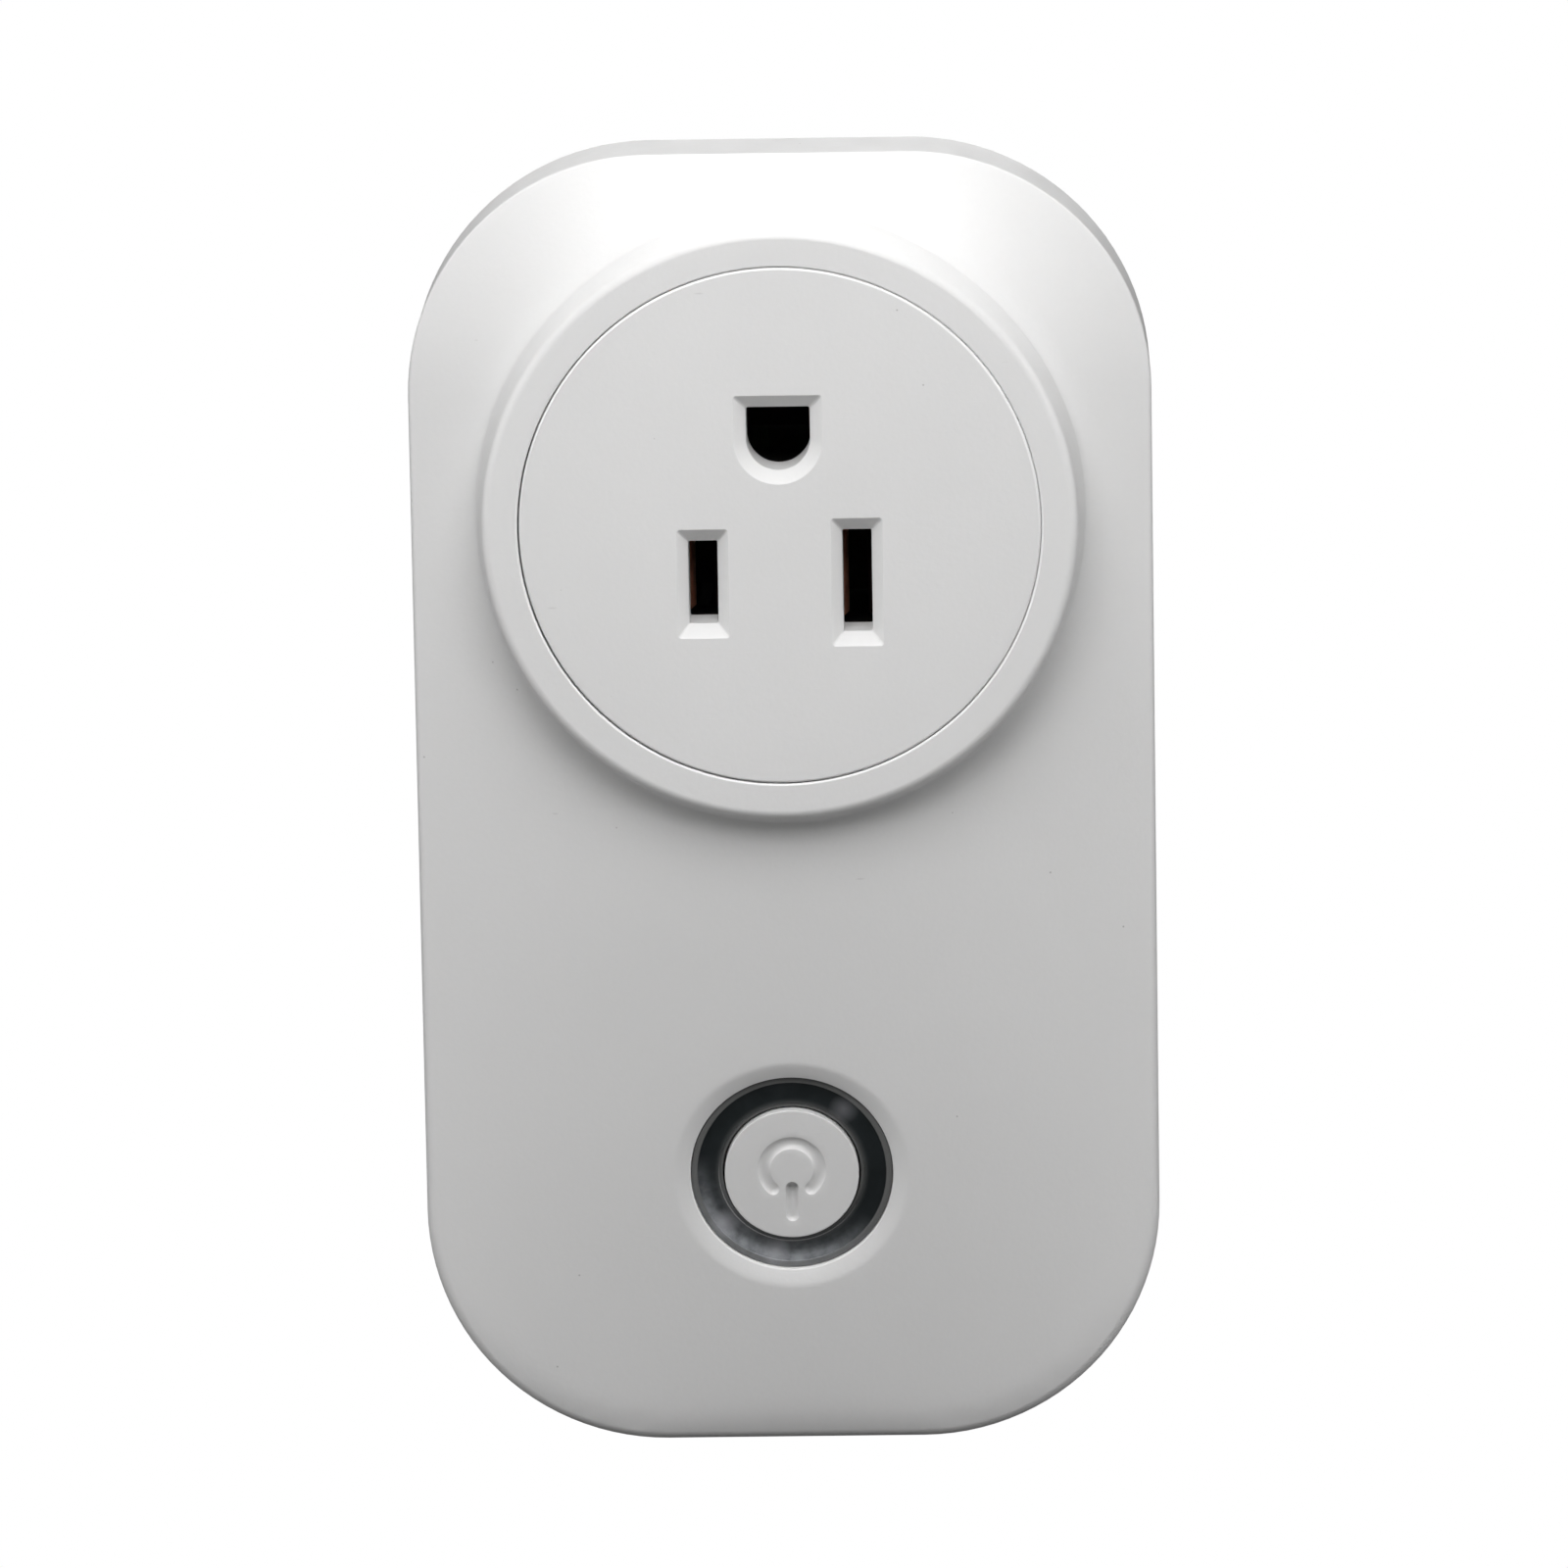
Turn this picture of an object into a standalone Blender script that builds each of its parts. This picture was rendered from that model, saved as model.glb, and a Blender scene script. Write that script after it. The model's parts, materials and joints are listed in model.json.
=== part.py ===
"""Smart plug for a three-pin North American socket, built as an assembly of separate pieces.

The frame: X right, Z up, the socket side faces -Y and the blades point along +Y.
The origin is on the flat rear face, midway between the two flat blades.
Sizes are in millimetres; MM turns them into Blender's metres when a mesh is made.
"""

import math

import bmesh
import bpy
from mathutils import Vector

MM = 0.001
GAP = 0.3                       # clearance between a piece and the one it rests on

# Body outline, seen from the front
BODY_WIDTH = 61.6
BODY_HEIGHT = 109.4
BODY_TOP = 34.35
CORNER_RADIUS = 20.0
BODY_MIDDLE = BODY_TOP - BODY_HEIGHT / 2
HALF_WIDTH = BODY_WIDTH / 2
HALF_HEIGHT = BODY_HEIGHT / 2
ARC_STEPS = 6
LONG_STEPS = 6
SHORT_STEPS = 2

# Shells
PARTING_Y = -14.0
WALL = 2.0
REAR_PANEL = 2.2
REAR_INSET = 0.3                 # at the seam; the rear cover then tapers towards the wall
REAR_BACK_INSET = 1.95
LIP_HEIGHT = 1.3
LIP_OUTER = 1.45
REBATE = 1.15
EDGE_HEIGHT = 9.0               # front cover's side wall, above the parting plane
TOP_EDGE_ROUND = 0.3
BOTTOM_EDGE_ROUND = 1.3

# Crown of the front face
LOWER_LIFT = 0.7
LOWER_SLOPE = 0.105
SHOULDER_SLOPE = 0.42
BLEND_POWER = 4

# Socket boss and insert
SOCKET_Z = 4.7
BOSS_HEIGHT = 18.3
BOSS_RADIUS = 24.6
BOSS_BASE_RADIUS = 25.25
BOSS_FOOT_RADIUS = 26.95
BORE_RADIUS = 21.6
COLLAR_RADIUS = 23.8
COLLAR_HEIGHT = 8.5
FACE_THICKNESS = 5.0
BOSS_Y = PARTING_Y - BOSS_HEIGHT
FACE_BACK_Y = BOSS_Y + FACE_THICKNESS

# Blade pattern: 12.7 mm between flat blades, ground 11.9 mm above them
BLADE_X = 6.35
GROUND_Z = 11.9
BLADE_THICKNESS = 1.5
BLADE_WIDTH = 6.35
BLADE_LENGTH = 17.5
BLADE_NECK_END = 0.5
BLADE_SHOULDER = 0.1
GROUND_DIAMETER = 4.75
GROUND_LENGTH = 20.5
SLOT_WIDTH = 2.4
HOT_SLOT = 6.9
NEUTRAL_SLOT = 8.5
GROUND_SLOT_WIDTH = 5.25
FUNNEL_DEPTH = 1.4
FUNNEL_SIDE = 0.88
FUNNEL_END = 1.06

# Carrier behind the insert
CARRIER_RADIUS = 20.9
CARRIER_FRONT_Y = FACE_BACK_Y + GAP
CARRIER_BACK_Y = -13.5
FLANGE_RADIUS = 23.2
LEG_X = 17.5
LEG_Z = 16.0
FACE_SCREW_X = 14.5
FACE_SCREW_Z = -5.0

# Boards
POWER_BOARD_BACK = -6.6
POWER_BOARD_FRONT = -8.2
PART_BASE = POWER_BOARD_FRONT - GAP
BOARD_SCREW_Z = (24.5, -67.5)

# Case screws and pillars, mirrored left and right
PILLAR_X = 20.6
PILLAR_Z = (22.6, -63.3)
PILLAR_RADIUS = 3.0
PILLAR_END_Y = -2.6
PILLAR_SINK = 1.6               # keeps a pillar's head inside the sloping wall

# Button group, square to the tilted lower face
BUTTON_Z = -51.5
BUTTON_TILT = math.atan(LOWER_SLOPE)
BUTTON_TRAVEL_ROOM = 0.6
CAP_RADIUS = 5.6
RING_INNER = 5.9
RING_OUTER = 8.4
RING_DEPTH = 0.75
CONTROL_BOARD_FRONT = 8.4
CONTROL_BOARD_BACK = 9.6
LED_RADIUS = 7.0
LED_ANGLES = {"led_upper": 50, "led_lower": 219, "led_bottom": 262}

# Relay: its box on the power board, and the armature's hinge
RELAY_X = (-23.0, -4.5)
RELAY_Z = (-37.0, -22.0)
RELAY_TOP_Y = -21.9
RELAY_WALL = 0.8
RELAY_FLOOR_Y = -10.3           # top of the relay's base
RELAY_MID_Z = (RELAY_Z[0] + RELAY_Z[1]) / 2
COIL_X = -14.4
ARMATURE_HINGE = (-19.85, RELAY_FLOOR_Y - 7.6, RELAY_MID_Z)
ARMATURE_OPEN = math.radians(4.0)


# ---------------------------------------------------------------- materials

def material(name, colour, roughness, metallic=0.0):
    found = bpy.data.materials.get(name)
    if found:
        return found
    made = bpy.data.materials.new(name)
    made.use_nodes = True
    shader = made.node_tree.nodes["Principled BSDF"]
    shader.inputs["Base Color"].default_value = (*colour, 1.0)
    shader.inputs["Roughness"].default_value = roughness
    shader.inputs["Metallic"].default_value = metallic
    made.diffuse_color = (*colour, 1.0)
    return made


def white_plastic():
    return material("white_abs", (0.80, 0.80, 0.81), 0.45)


def smoked_plastic():
    return material("smoked_polycarbonate", (0.02, 0.022, 0.03), 0.12)


def insulator():
    return material("insulator_nylon", (0.62, 0.60, 0.55), 0.5)


def board_green():
    return material("board_laminate", (0.012, 0.022, 0.016), 0.4)


def brass():
    return material("brass", (0.72, 0.48, 0.22), 0.3, 1.0)


def bronze():
    return material("phosphor_bronze", (0.62, 0.33, 0.18), 0.35, 1.0)


def steel():
    return material("zinc_steel", (0.60, 0.61, 0.62), 0.35, 1.0)


def black_plastic():
    return material("black_thermoplastic", (0.03, 0.03, 0.032), 0.4)


# ---------------------------------------------------------------- mesh tools

def finish(name, mesh_data, look, parent=None, origin=(0, 0, 0), turn=None):
    """Makes an object from mesh data in millimetres, with its origin at the given point."""
    bmesh.ops.translate(mesh_data, verts=mesh_data.verts, vec=-Vector(origin))
    bmesh.ops.scale(mesh_data, vec=(MM, MM, MM), verts=mesh_data.verts)
    bmesh.ops.remove_doubles(mesh_data, verts=mesh_data.verts, dist=1e-7)
    bmesh.ops.recalc_face_normals(mesh_data, faces=mesh_data.faces)
    mesh = bpy.data.meshes.new(name)
    mesh_data.to_mesh(mesh)
    mesh_data.free()
    mesh.shade_smooth()
    mesh.set_sharp_from_angle(angle=math.radians(35))
    piece = bpy.data.objects.new(name, mesh)
    bpy.context.scene.collection.objects.link(piece)
    piece.location = Vector(origin) * MM
    if turn:
        piece.rotation_euler = turn
    if parent:
        piece.parent = parent
    if look:
        mesh.materials.append(look)
    return piece


def skin(rings, closed=False):
    """Bridges rings of points; the first and last are capped, or joined when closed."""
    data = bmesh.new()
    loops = [[data.verts.new(point) for point in ring] for ring in rings]
    count = len(rings[0])
    pairs = list(zip(loops, loops[1:]))
    if closed:
        pairs.append((loops[-1], loops[0]))
    for lower, upper in pairs:
        for i in range(count):
            j = (i + 1) % count
            data.faces.new((lower[i], lower[j], upper[j], upper[i]))
    if not closed:
        data.faces.new(loops[0])
        data.faces.new(loops[-1])
    return data


def circle(radius, y, centre=(0.0, 0.0), steps=24):
    turn = 2 * math.pi / steps
    return [(centre[0] + radius * math.cos(i * turn), y, centre[1] + radius * math.sin(i * turn))
            for i in range(steps)]


def turned(profile, centre=(0.0, 0.0), steps=24, closed=False):
    """A body of revolution about a Y axis, from (radius, y) points; closed makes a ring."""
    return skin([circle(radius, y, centre, steps) for radius, y in profile], closed)


def rectangle(x_span, z_span, y):
    x0, x1 = x_span
    z0, z1 = z_span
    return [(x0, y, z0), (x1, y, z0), (x1, y, z1), (x0, y, z1)]


def box(x_span, y_span, z_span):
    return skin([rectangle(x_span, z_span, y_span[0]), rectangle(x_span, z_span, y_span[1])])


def prism(points, y_span):
    """A polygon of (x, z) points, drawn out along Y."""
    return skin([[(x, y, z) for x, z in points] for y in y_span])


def upright_prism(points, z_span):
    """A polygon of (x, y) points, drawn out along Z."""
    return skin([[(x, y, z) for x, y in points] for z in z_span])


def lying_rod(profile, x, y, steps=16):
    """A body of revolution about a Z axis through (x, y), from (radius, z) points."""
    turn = 2 * math.pi / steps
    rings = [[(x + r * math.cos(i * turn), y + r * math.sin(i * turn), z) for i in range(steps)]
             for r, z in profile]
    return skin(rings)


def tool(name, mesh_data, parent=None):
    """A helper body for a Boolean: drawn as wire and left out of the product."""
    helper = finish(name, mesh_data, None, parent)
    helper.display_type = "WIRE"
    helper.hide_render = True
    return helper


def boolean(piece, helper, operation):
    step = piece.modifiers.new(helper.name, "BOOLEAN")
    step.operation = operation
    step.solver = "EXACT"
    step.object = helper


def cut(piece, name, mesh_data, parent=None):
    boolean(piece, tool("cut_" + name, mesh_data, parent), "DIFFERENCE")


def add(piece, name, mesh_data, parent=None):
    boolean(piece, tool("add_" + name, mesh_data, parent), "UNION")


def span(middle, size):
    return (middle - size / 2, middle + size / 2)


# ---------------------------------------------------------------- body surface

def outline(inset):
    """The body's rounded rectangle, moved in by inset, as (x, z) points."""
    half_w = HALF_WIDTH - inset
    half_h = HALF_HEIGHT - inset
    radius = CORNER_RADIUS - inset
    cx = half_w - radius
    cz = half_h - radius
    corners = ((cx, cz, 0), (-cx, cz, 90), (-cx, -cz, 180), (cx, -cz, 270))
    points = []
    for index, (x, z, start) in enumerate(corners):
        arc = []
        for step in range(ARC_STEPS + 1):
            angle = math.radians(start + 90 * step / ARC_STEPS)
            arc.append((x + radius * math.cos(angle), z + radius * math.sin(angle)))
        points += arc
        next_x, next_z, next_start = corners[(index + 1) % 4]
        angle = math.radians(next_start)
        end = (next_x + radius * math.cos(angle), next_z + radius * math.sin(angle))
        steps = SHORT_STEPS if index % 2 == 0 else LONG_STEPS
        for step in range(1, steps):
            part = step / steps
            points.append((arc[-1][0] + (end[0] - arc[-1][0]) * part,
                           arc[-1][1] + (end[1] - arc[-1][1]) * part))
    return [(x, z + BODY_MIDDLE) for x, z in points]


def depth_inside(x, z):
    """Distance from a point to the body's outline."""
    qx = abs(x) - (HALF_WIDTH - CORNER_RADIUS)
    qz = abs(z - BODY_MIDDLE) - (HALF_HEIGHT - CORNER_RADIUS)
    outside = math.hypot(max(qx, 0.0), max(qz, 0.0)) + min(max(qx, qz), 0.0)
    return CORNER_RADIUS - outside


def crown(x, z):
    """Height of the front face over its edge: a tilted lower face that meets the shoulders."""
    low = 0.02
    tilt = LOWER_LIFT + LOWER_SLOPE * (z - BODY_MIDDLE + HALF_HEIGHT)
    dome = max(tilt * (1 - (x / HALF_WIDTH) ** 2), low)
    shoulder = max(SHOULDER_SLOPE * depth_inside(x, z), low)
    return (dome ** -BLEND_POWER + shoulder ** -BLEND_POWER) ** (-1 / BLEND_POWER)


def surface(x, z):
    """Height of the front face above the parting plane."""
    return EDGE_HEIGHT + crown(x, z)


def medial(x, z):
    """The nearest point on the body's middle line."""
    reach = HALF_HEIGHT - HALF_WIDTH
    return (0.0, min(max(z, BODY_MIDDLE - reach), BODY_MIDDLE + reach))


def flat_ring(inset, y):
    return [(x, y, z) for x, z in outline(inset)]


def face_ring(inset, part, drop):
    """A ring of the front face, the given part of the way in to the middle line."""
    ring = []
    for x, z in outline(inset):
        mx, mz = medial(x, z)
        px = x + (mx - x) * part
        pz = z + (mz - z) * part
        ring.append((px, PARTING_Y - surface(px, pz) + drop, pz))
    return ring


def edge_ring(share, lift):
    """A ring on the front edge's rounding, which is tight at the top and wide at the bottom."""
    ring = []
    for x, z in outline(0.0):
        low = (BODY_TOP - z) / BODY_HEIGHT
        size = TOP_EDGE_ROUND + (BOTTOM_EDGE_ROUND - TOP_EDGE_ROUND) * low
        mx, mz = medial(x, z)
        inward = Vector((mx - x, mz - z)).normalized() * size * share
        ring.append((x + inward.x, PARTING_Y - EDGE_HEIGHT + size * (1 - lift), z + inward.y))
    return ring


# ---------------------------------------------------------------- shells

def front_shell():
    outer = [face_ring(BOTTOM_EDGE_ROUND + 0.1, part, 0.0) for part in (1.0, 0.72, 0.46, 0.26, 0.12, 0.03)]
    edge = [edge_ring(1.0, 1.0), edge_ring(0.3, 0.7), edge_ring(0.0, 0.0)]
    rim_y = PARTING_Y - GAP / 2
    rebate_y = PARTING_Y - LIP_HEIGHT - GAP
    rim = [flat_ring(0.0, rim_y), flat_ring(REBATE, rim_y),
           flat_ring(REBATE, rebate_y), flat_ring(WALL, rebate_y)]
    inner = [face_ring(WALL, part, WALL) for part in (0.0, 0.08, 0.25, 0.5, 1.0)]
    rings = outer + edge + rim + inner
    data = bmesh.new()
    loops = [[data.verts.new(point) for point in ring] for ring in rings]
    count = len(rings[0])
    for lower, upper in zip(loops, loops[1:]):
        for i in range(count):
            j = (i + 1) % count
            data.faces.new((lower[i], lower[j], upper[j], upper[i]))
    bmesh.ops.remove_doubles(data, verts=data.verts, dist=1e-4)
    return data


def boss_body():
    """The socket boss with its foot fillet, which follows the crowned face around."""
    steps = 48
    levels = ((COLLAR_RADIUS, None, COLLAR_HEIGHT), (COLLAR_RADIUS, -1.2, None),
              (BOSS_FOOT_RADIUS, -0.2, None), (26.3, 0.15, None), (25.6, 0.6, None),
              (BOSS_BASE_RADIUS, 1.3, None), (BOSS_RADIUS, None, 17.6), (BOSS_RADIUS - 0.12, None, 18.0),
              (BOSS_RADIUS - 0.45, None, 18.22), (BOSS_RADIUS - 0.9, None, BOSS_HEIGHT))
    rings = []
    for radius, over_face, height in levels:
        ring = []
        for x, _, z in circle(radius, 0.0, (0.0, SOCKET_Z), steps):
            foot_x = x * BOSS_FOOT_RADIUS / radius
            foot_z = SOCKET_Z + (z - SOCKET_Z) * BOSS_FOOT_RADIUS / radius
            level = height if over_face is None else surface(foot_x, foot_z) + over_face
            ring.append((x, PARTING_Y - level, z))
        rings.append(ring)
    return skin(rings)


def build_front_cover(button):
    cover = finish("front_cover", front_shell(), white_plastic())
    add(cover, "boss", boss_body())
    for side in (-1, 1):
        for end, z in enumerate(PILLAR_Z):
            name = f"pillar_{side}_{end}"
            x = side * PILLAR_X
            head_y = PARTING_Y - surface(x, z) + PILLAR_SINK
            add(cover, name, turned([(PILLAR_RADIUS, head_y), (PILLAR_RADIUS, PILLAR_END_Y)], (x, z), 16))
            cut(cover, name + "_pilot", turned([(1.5, -13.0), (1.5, 0.0)], (x, z), 12))
    bore = turned([(BORE_RADIUS, BOSS_Y - 1), (BORE_RADIUS, -18.0)], (0.0, SOCKET_Z), 48)
    cut(cover, "bore", bore)
    well = [(10.7, -0.5), (9.75, 0.0), (9.1, 0.3), (8.75, 0.75), (RING_OUTER + GAP, 1.2), (RING_OUTER + GAP, 4.5)]
    cut(cover, "button_well", turned(well, steps=32), button)
    for side in (-1, 1):
        centre = (side * 13.5, 0.0)
        add(cover, f"board_post_{side}", turned([(1.9, 1.4), (1.9, CONTROL_BOARD_FRONT - GAP)], centre, 12), button)
        cut(cover, f"board_post_pilot_{side}", turned([(1.1, 4.2), (1.1, 9.0)], centre, 10), button)
    return cover


def build_rear_cover():
    rings = [flat_ring(REAR_BACK_INSET + 0.65, 0.0), flat_ring(REAR_BACK_INSET + 0.2, -0.35),
             flat_ring(REAR_BACK_INSET, -1.1),
             flat_ring(REAR_INSET, PARTING_Y + GAP / 2), flat_ring(LIP_OUTER, PARTING_Y + GAP / 2),
             flat_ring(LIP_OUTER, PARTING_Y - LIP_HEIGHT), flat_ring(REAR_INSET + WALL, PARTING_Y - LIP_HEIGHT),
             flat_ring(REAR_BACK_INSET + WALL, -REAR_PANEL)]
    cover = finish("rear_cover", skin(rings), white_plastic())
    for side in (-1, 1):
        hole = box(span(side * BLADE_X, BLADE_THICKNESS + 2 * GAP), (-4, 1), span(0, BLADE_WIDTH + 2 * GAP))
        cut(cover, f"blade_hole_{side}", hole)
        for end, z in enumerate(PILLAR_Z):
            screw_hole = [(3.0, 1.0), (3.0, -1.25), (1.6, -1.25), (1.6, -3.0)]
            cut(cover, f"screw_hole_{side}_{end}", turned(screw_hole, (side * PILLAR_X, z), 16))
    pin_radius = GROUND_DIAMETER / 2 + GAP
    cut(cover, "pin_hole", turned([(pin_radius, 1.0), (pin_radius, -4.0)], (0.0, GROUND_Z), 20))
    for end, z in enumerate(BOARD_SCREW_Z):
        post = [(2.4, -REAR_PANEL + 0.5), (2.4, POWER_BOARD_BACK + GAP)]
        add(cover, f"standoff_{end}", turned(post, (0.0, z), 14))
        cut(cover, f"standoff_pilot_{end}", turned([(1.3, -1.6), (1.3, -8.0)], (0.0, z), 12))
    return cover


def screw(name, head_y, tip_y, centre, head_radius, shaft_radius, parent=None):
    """A pan-head screw along Y, driven from head_y towards tip_y."""
    way = 1 if tip_y > head_y else -1
    head_end = head_y + way * 1.1
    profile = [(head_radius * 0.75, head_y), (head_radius, head_y + way * 0.4), (head_radius, head_end),
               (shaft_radius, head_end), (shaft_radius, tip_y - way * 0.8), (shaft_radius * 0.4, tip_y)]
    data = turned(profile, (0.0, 0.0), 14)
    bmesh.ops.translate(data, verts=data.verts, vec=(centre[0], 0.0, centre[1]))
    return finish(name, data, steel(), parent)


def build_case_screws():
    for side, side_name in ((-1, "left"), (1, "right")):
        for z, end_name in zip(PILLAR_Z, ("upper", "lower")):
            screw(f"case_screw_{end_name}_{side_name}", -0.12, -11.5, (side * PILLAR_X, z), 2.6, 1.2)


# ---------------------------------------------------------------- socket

def slot_outline(x, height, grow_side, grow_end):
    half_w = SLOT_WIDTH / 2 + grow_side
    half_h = height / 2 + grow_end
    return [(x - half_w, -half_h), (x + half_w, -half_h), (x + half_w, half_h), (x - half_w, half_h)]


def ground_outline(grow):
    """A U-shaped hole: round below, flat above."""
    half = GROUND_SLOT_WIDTH / 2 + grow
    steps = 12
    points = [(-half * math.cos(math.pi * i / steps), GROUND_Z - half * math.sin(math.pi * i / steps))
              for i in range(steps + 1)]
    top = GROUND_Z + GROUND_SLOT_WIDTH / 2 + grow
    return points + [(half, top), (-half, top)]


def funnel_cutter(shape):
    """A hole whose mouth opens as a funnel; shape(share) gives its outline."""
    above = 0.4
    levels = ((BOSS_Y - above, 1 + above / FUNNEL_DEPTH), (BOSS_Y + FUNNEL_DEPTH, 0.0), (FACE_BACK_Y + 1, 0.0))
    return skin([[(x, y, z) for x, z in shape(share)] for y, share in levels])


def build_socket_face():
    edge = 0.12
    radius = BORE_RADIUS - GAP
    profile = [(radius - edge, BOSS_Y), (radius, BOSS_Y + edge), (radius, FACE_BACK_Y)]
    face = finish("socket_face", turned(profile, (0.0, SOCKET_Z), 48), white_plastic())
    cut(face, "hot_slot", funnel_cutter(
        lambda share: slot_outline(-BLADE_X, HOT_SLOT, share * FUNNEL_SIDE, share * FUNNEL_END)))
    cut(face, "neutral_slot", funnel_cutter(
        lambda share: slot_outline(BLADE_X, NEUTRAL_SLOT, share * FUNNEL_SIDE, share * FUNNEL_END)))
    cut(face, "ground_slot", funnel_cutter(lambda share: ground_outline(share * FUNNEL_END)))
    for side in (-1, 1):
        hole = turned([(1.3, BOSS_Y + 1.0), (1.3, FACE_BACK_Y + 1)], (side * FACE_SCREW_X, FACE_SCREW_Z), 12)
        cut(face, f"face_pilot_{side}", hole)


def build_socket_carrier():
    profile = [(CARRIER_RADIUS, CARRIER_FRONT_Y), (CARRIER_RADIUS, PARTING_Y - COLLAR_HEIGHT + GAP),
               (FLANGE_RADIUS, PARTING_Y - COLLAR_HEIGHT + GAP), (FLANGE_RADIUS, -20.2),
               (CARRIER_RADIUS, -20.2), (CARRIER_RADIUS, CARRIER_BACK_Y)]
    carrier = finish("socket_carrier", turned(profile, (0.0, SOCKET_Z), 32), insulator())
    through = (CARRIER_FRONT_Y - 1, CARRIER_BACK_Y + 1)
    cut(carrier, "hot_pocket", box(span(-BLADE_X, 5.2), through, span(0, 10.4)))
    cut(carrier, "neutral_pocket", box(span(BLADE_X, 5.2), through, span(0, 12.0)))
    cut(carrier, "ground_pocket", box(span(0, 7.8), through, span(GROUND_Z, 7.8)))
    for side, side_name in ((-1, "left"), (1, "right")):
        leg = turned([(1.8, CARRIER_BACK_Y - 1), (1.8, PILLAR_END_Y)], (side * LEG_X, LEG_Z), 12)
        add(carrier, f"leg_{side}", leg)
        hole = turned([(1.3, through[0]), (1.3, through[1])], (side * FACE_SCREW_X, FACE_SCREW_Z), 12)
        cut(carrier, f"face_screw_hole_{side}", hole)
        screw(f"socket_screw_{side_name}", CARRIER_BACK_Y + GAP + 1.1, BOSS_Y + 1.3,
              (side * FACE_SCREW_X, FACE_SCREW_Z), 2.1, 1.0)


def leaf_pair(x, pinch, mouth, spread, base_y, tail_end):
    """Cross-section of a spring contact: two leaves on one base, with a tail to the rear."""
    sheet = 0.5
    tip_y = CARRIER_FRONT_Y + 0.4
    pinch_y = tip_y + 2.6
    back_y = base_y + sheet
    right = [(spread, back_y), (spread, pinch_y + 4.0), (pinch + sheet, pinch_y), (mouth + sheet, tip_y),
             (mouth, tip_y), (pinch, pinch_y), (spread - sheet, pinch_y + 4.0), (spread - sheet, base_y)]
    left = [(-px, py) for px, py in reversed(right)]
    tail = [(-0.4, back_y), (-0.4, tail_end), (0.4, tail_end), (0.4, back_y)]
    return [(x + px, py) for px, py in right + left + tail]


def build_contacts():
    """The leaves stand as a seated plug holds them, just clear of its blades."""
    flat_base = BOSS_Y + BLADE_LENGTH + 1.0
    pin_base = BOSS_Y + GROUND_LENGTH + 0.5
    bus_end = POWER_BOARD_FRONT - 1.1
    gap = BLADE_THICKNESS / 2 + 0.05
    pin_gap = GROUND_DIAMETER / 2 + 0.08
    hot = leaf_pair(-BLADE_X, gap, 1.3, 2.1, flat_base, -12.4)
    finish("hot_contact", upright_prism(hot, span(0, 6.4)), bronze())
    neutral = leaf_pair(BLADE_X, gap, 1.3, 2.1, flat_base, bus_end)
    finish("neutral_contact", upright_prism(neutral, span(0, 7.8)), bronze())
    ground = leaf_pair(0, pin_gap, 2.8, 3.4, pin_base, bus_end)
    finish("ground_contact", upright_prism(ground, span(GROUND_Z, 4.4)), bronze())


# ---------------------------------------------------------------- blades

def build_blade(name, side):
    x = side * BLADE_X
    tip = BLADE_LENGTH
    neck_thick = span(x, BLADE_THICKNESS - 2 * BLADE_SHOULDER)
    neck_wide = span(0, BLADE_WIDTH - 2 * BLADE_SHOULDER)
    thick = span(x, BLADE_THICKNESS)
    wide = span(0, BLADE_WIDTH)
    tip_thick = span(x, 0.7)
    tip_wide = span(0, BLADE_WIDTH - 2.4)
    rings = [rectangle(span(x, 0.8), span(0, 3.0), -9.0), rectangle(span(x, 0.8), span(0, 3.0), -6.1),
             rectangle(span(x, 4.8), span(0, 9.0), -6.1), rectangle(span(x, 4.8), span(0, 9.0), -5.3),
             rectangle(neck_thick, neck_wide, -5.3), rectangle(neck_thick, neck_wide, BLADE_NECK_END),
             rectangle(thick, wide, BLADE_NECK_END), rectangle(thick, wide, tip - 1.6),
             rectangle(tip_thick, tip_wide, tip)]
    blade = finish(name, skin(rings), brass())
    hole = lying_hole(1.58, 11.9, (x - 2, x + 2))
    cut(blade, name + "_hole", hole)


def lying_hole(radius, y, x_span, steps=16):
    """A rod along X, for the round hole near a blade's tip."""
    turn = 2 * math.pi / steps
    rings = [[(x, y + radius * math.cos(i * turn), radius * math.sin(i * turn)) for i in range(steps)]
             for x in x_span]
    return skin(rings)


def build_ground_pin():
    radius = GROUND_DIAMETER / 2
    tip = GROUND_LENGTH
    profile = [(1.0, -9.0), (1.0, -6.1), (3.6, -6.1), (3.6, -5.3), (radius, -5.3), (radius, tip - 2.2),
               (radius * 0.87, tip - 1.1), (radius * 0.5, tip - 0.3), (radius * 0.15, tip)]
    finish("ground_pin", turned(profile, (0.0, GROUND_Z), 20), brass())


def build_blade_holder():
    holder = finish("blade_holder", box((-12.0, 12.0), (-5.0, -2.5), (-6.5, 17.5)), insulator())
    for side in (-1, 1):
        hole = box(span(side * BLADE_X, BLADE_THICKNESS + 2 * GAP), (-6, -1), span(0, BLADE_WIDTH + 2 * GAP))
        cut(holder, f"holder_slot_{side}", hole)
    radius = GROUND_DIAMETER / 2 + GAP
    cut(holder, "holder_pin_hole", turned([(radius, -6.0), (radius, -1.0)], (0.0, GROUND_Z), 20))


# ---------------------------------------------------------------- boards

def power_board_outline():
    """A long board, stepped in at its four corners to clear the pillars."""
    wide = 26.0
    narrow = PILLAR_X - PILLAR_RADIUS - 0.9
    low, high = -70.5, 29.5
    low_step = PILLAR_Z[1] + PILLAR_RADIUS + 0.9
    high_step = PILLAR_Z[0] - PILLAR_RADIUS - 0.9
    right = [(narrow, low), (narrow, low_step), (wide, low_step), (wide, high_step),
             (narrow, high_step), (narrow, high)]
    return right + [(-x, z) for x, z in reversed(right)]


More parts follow.
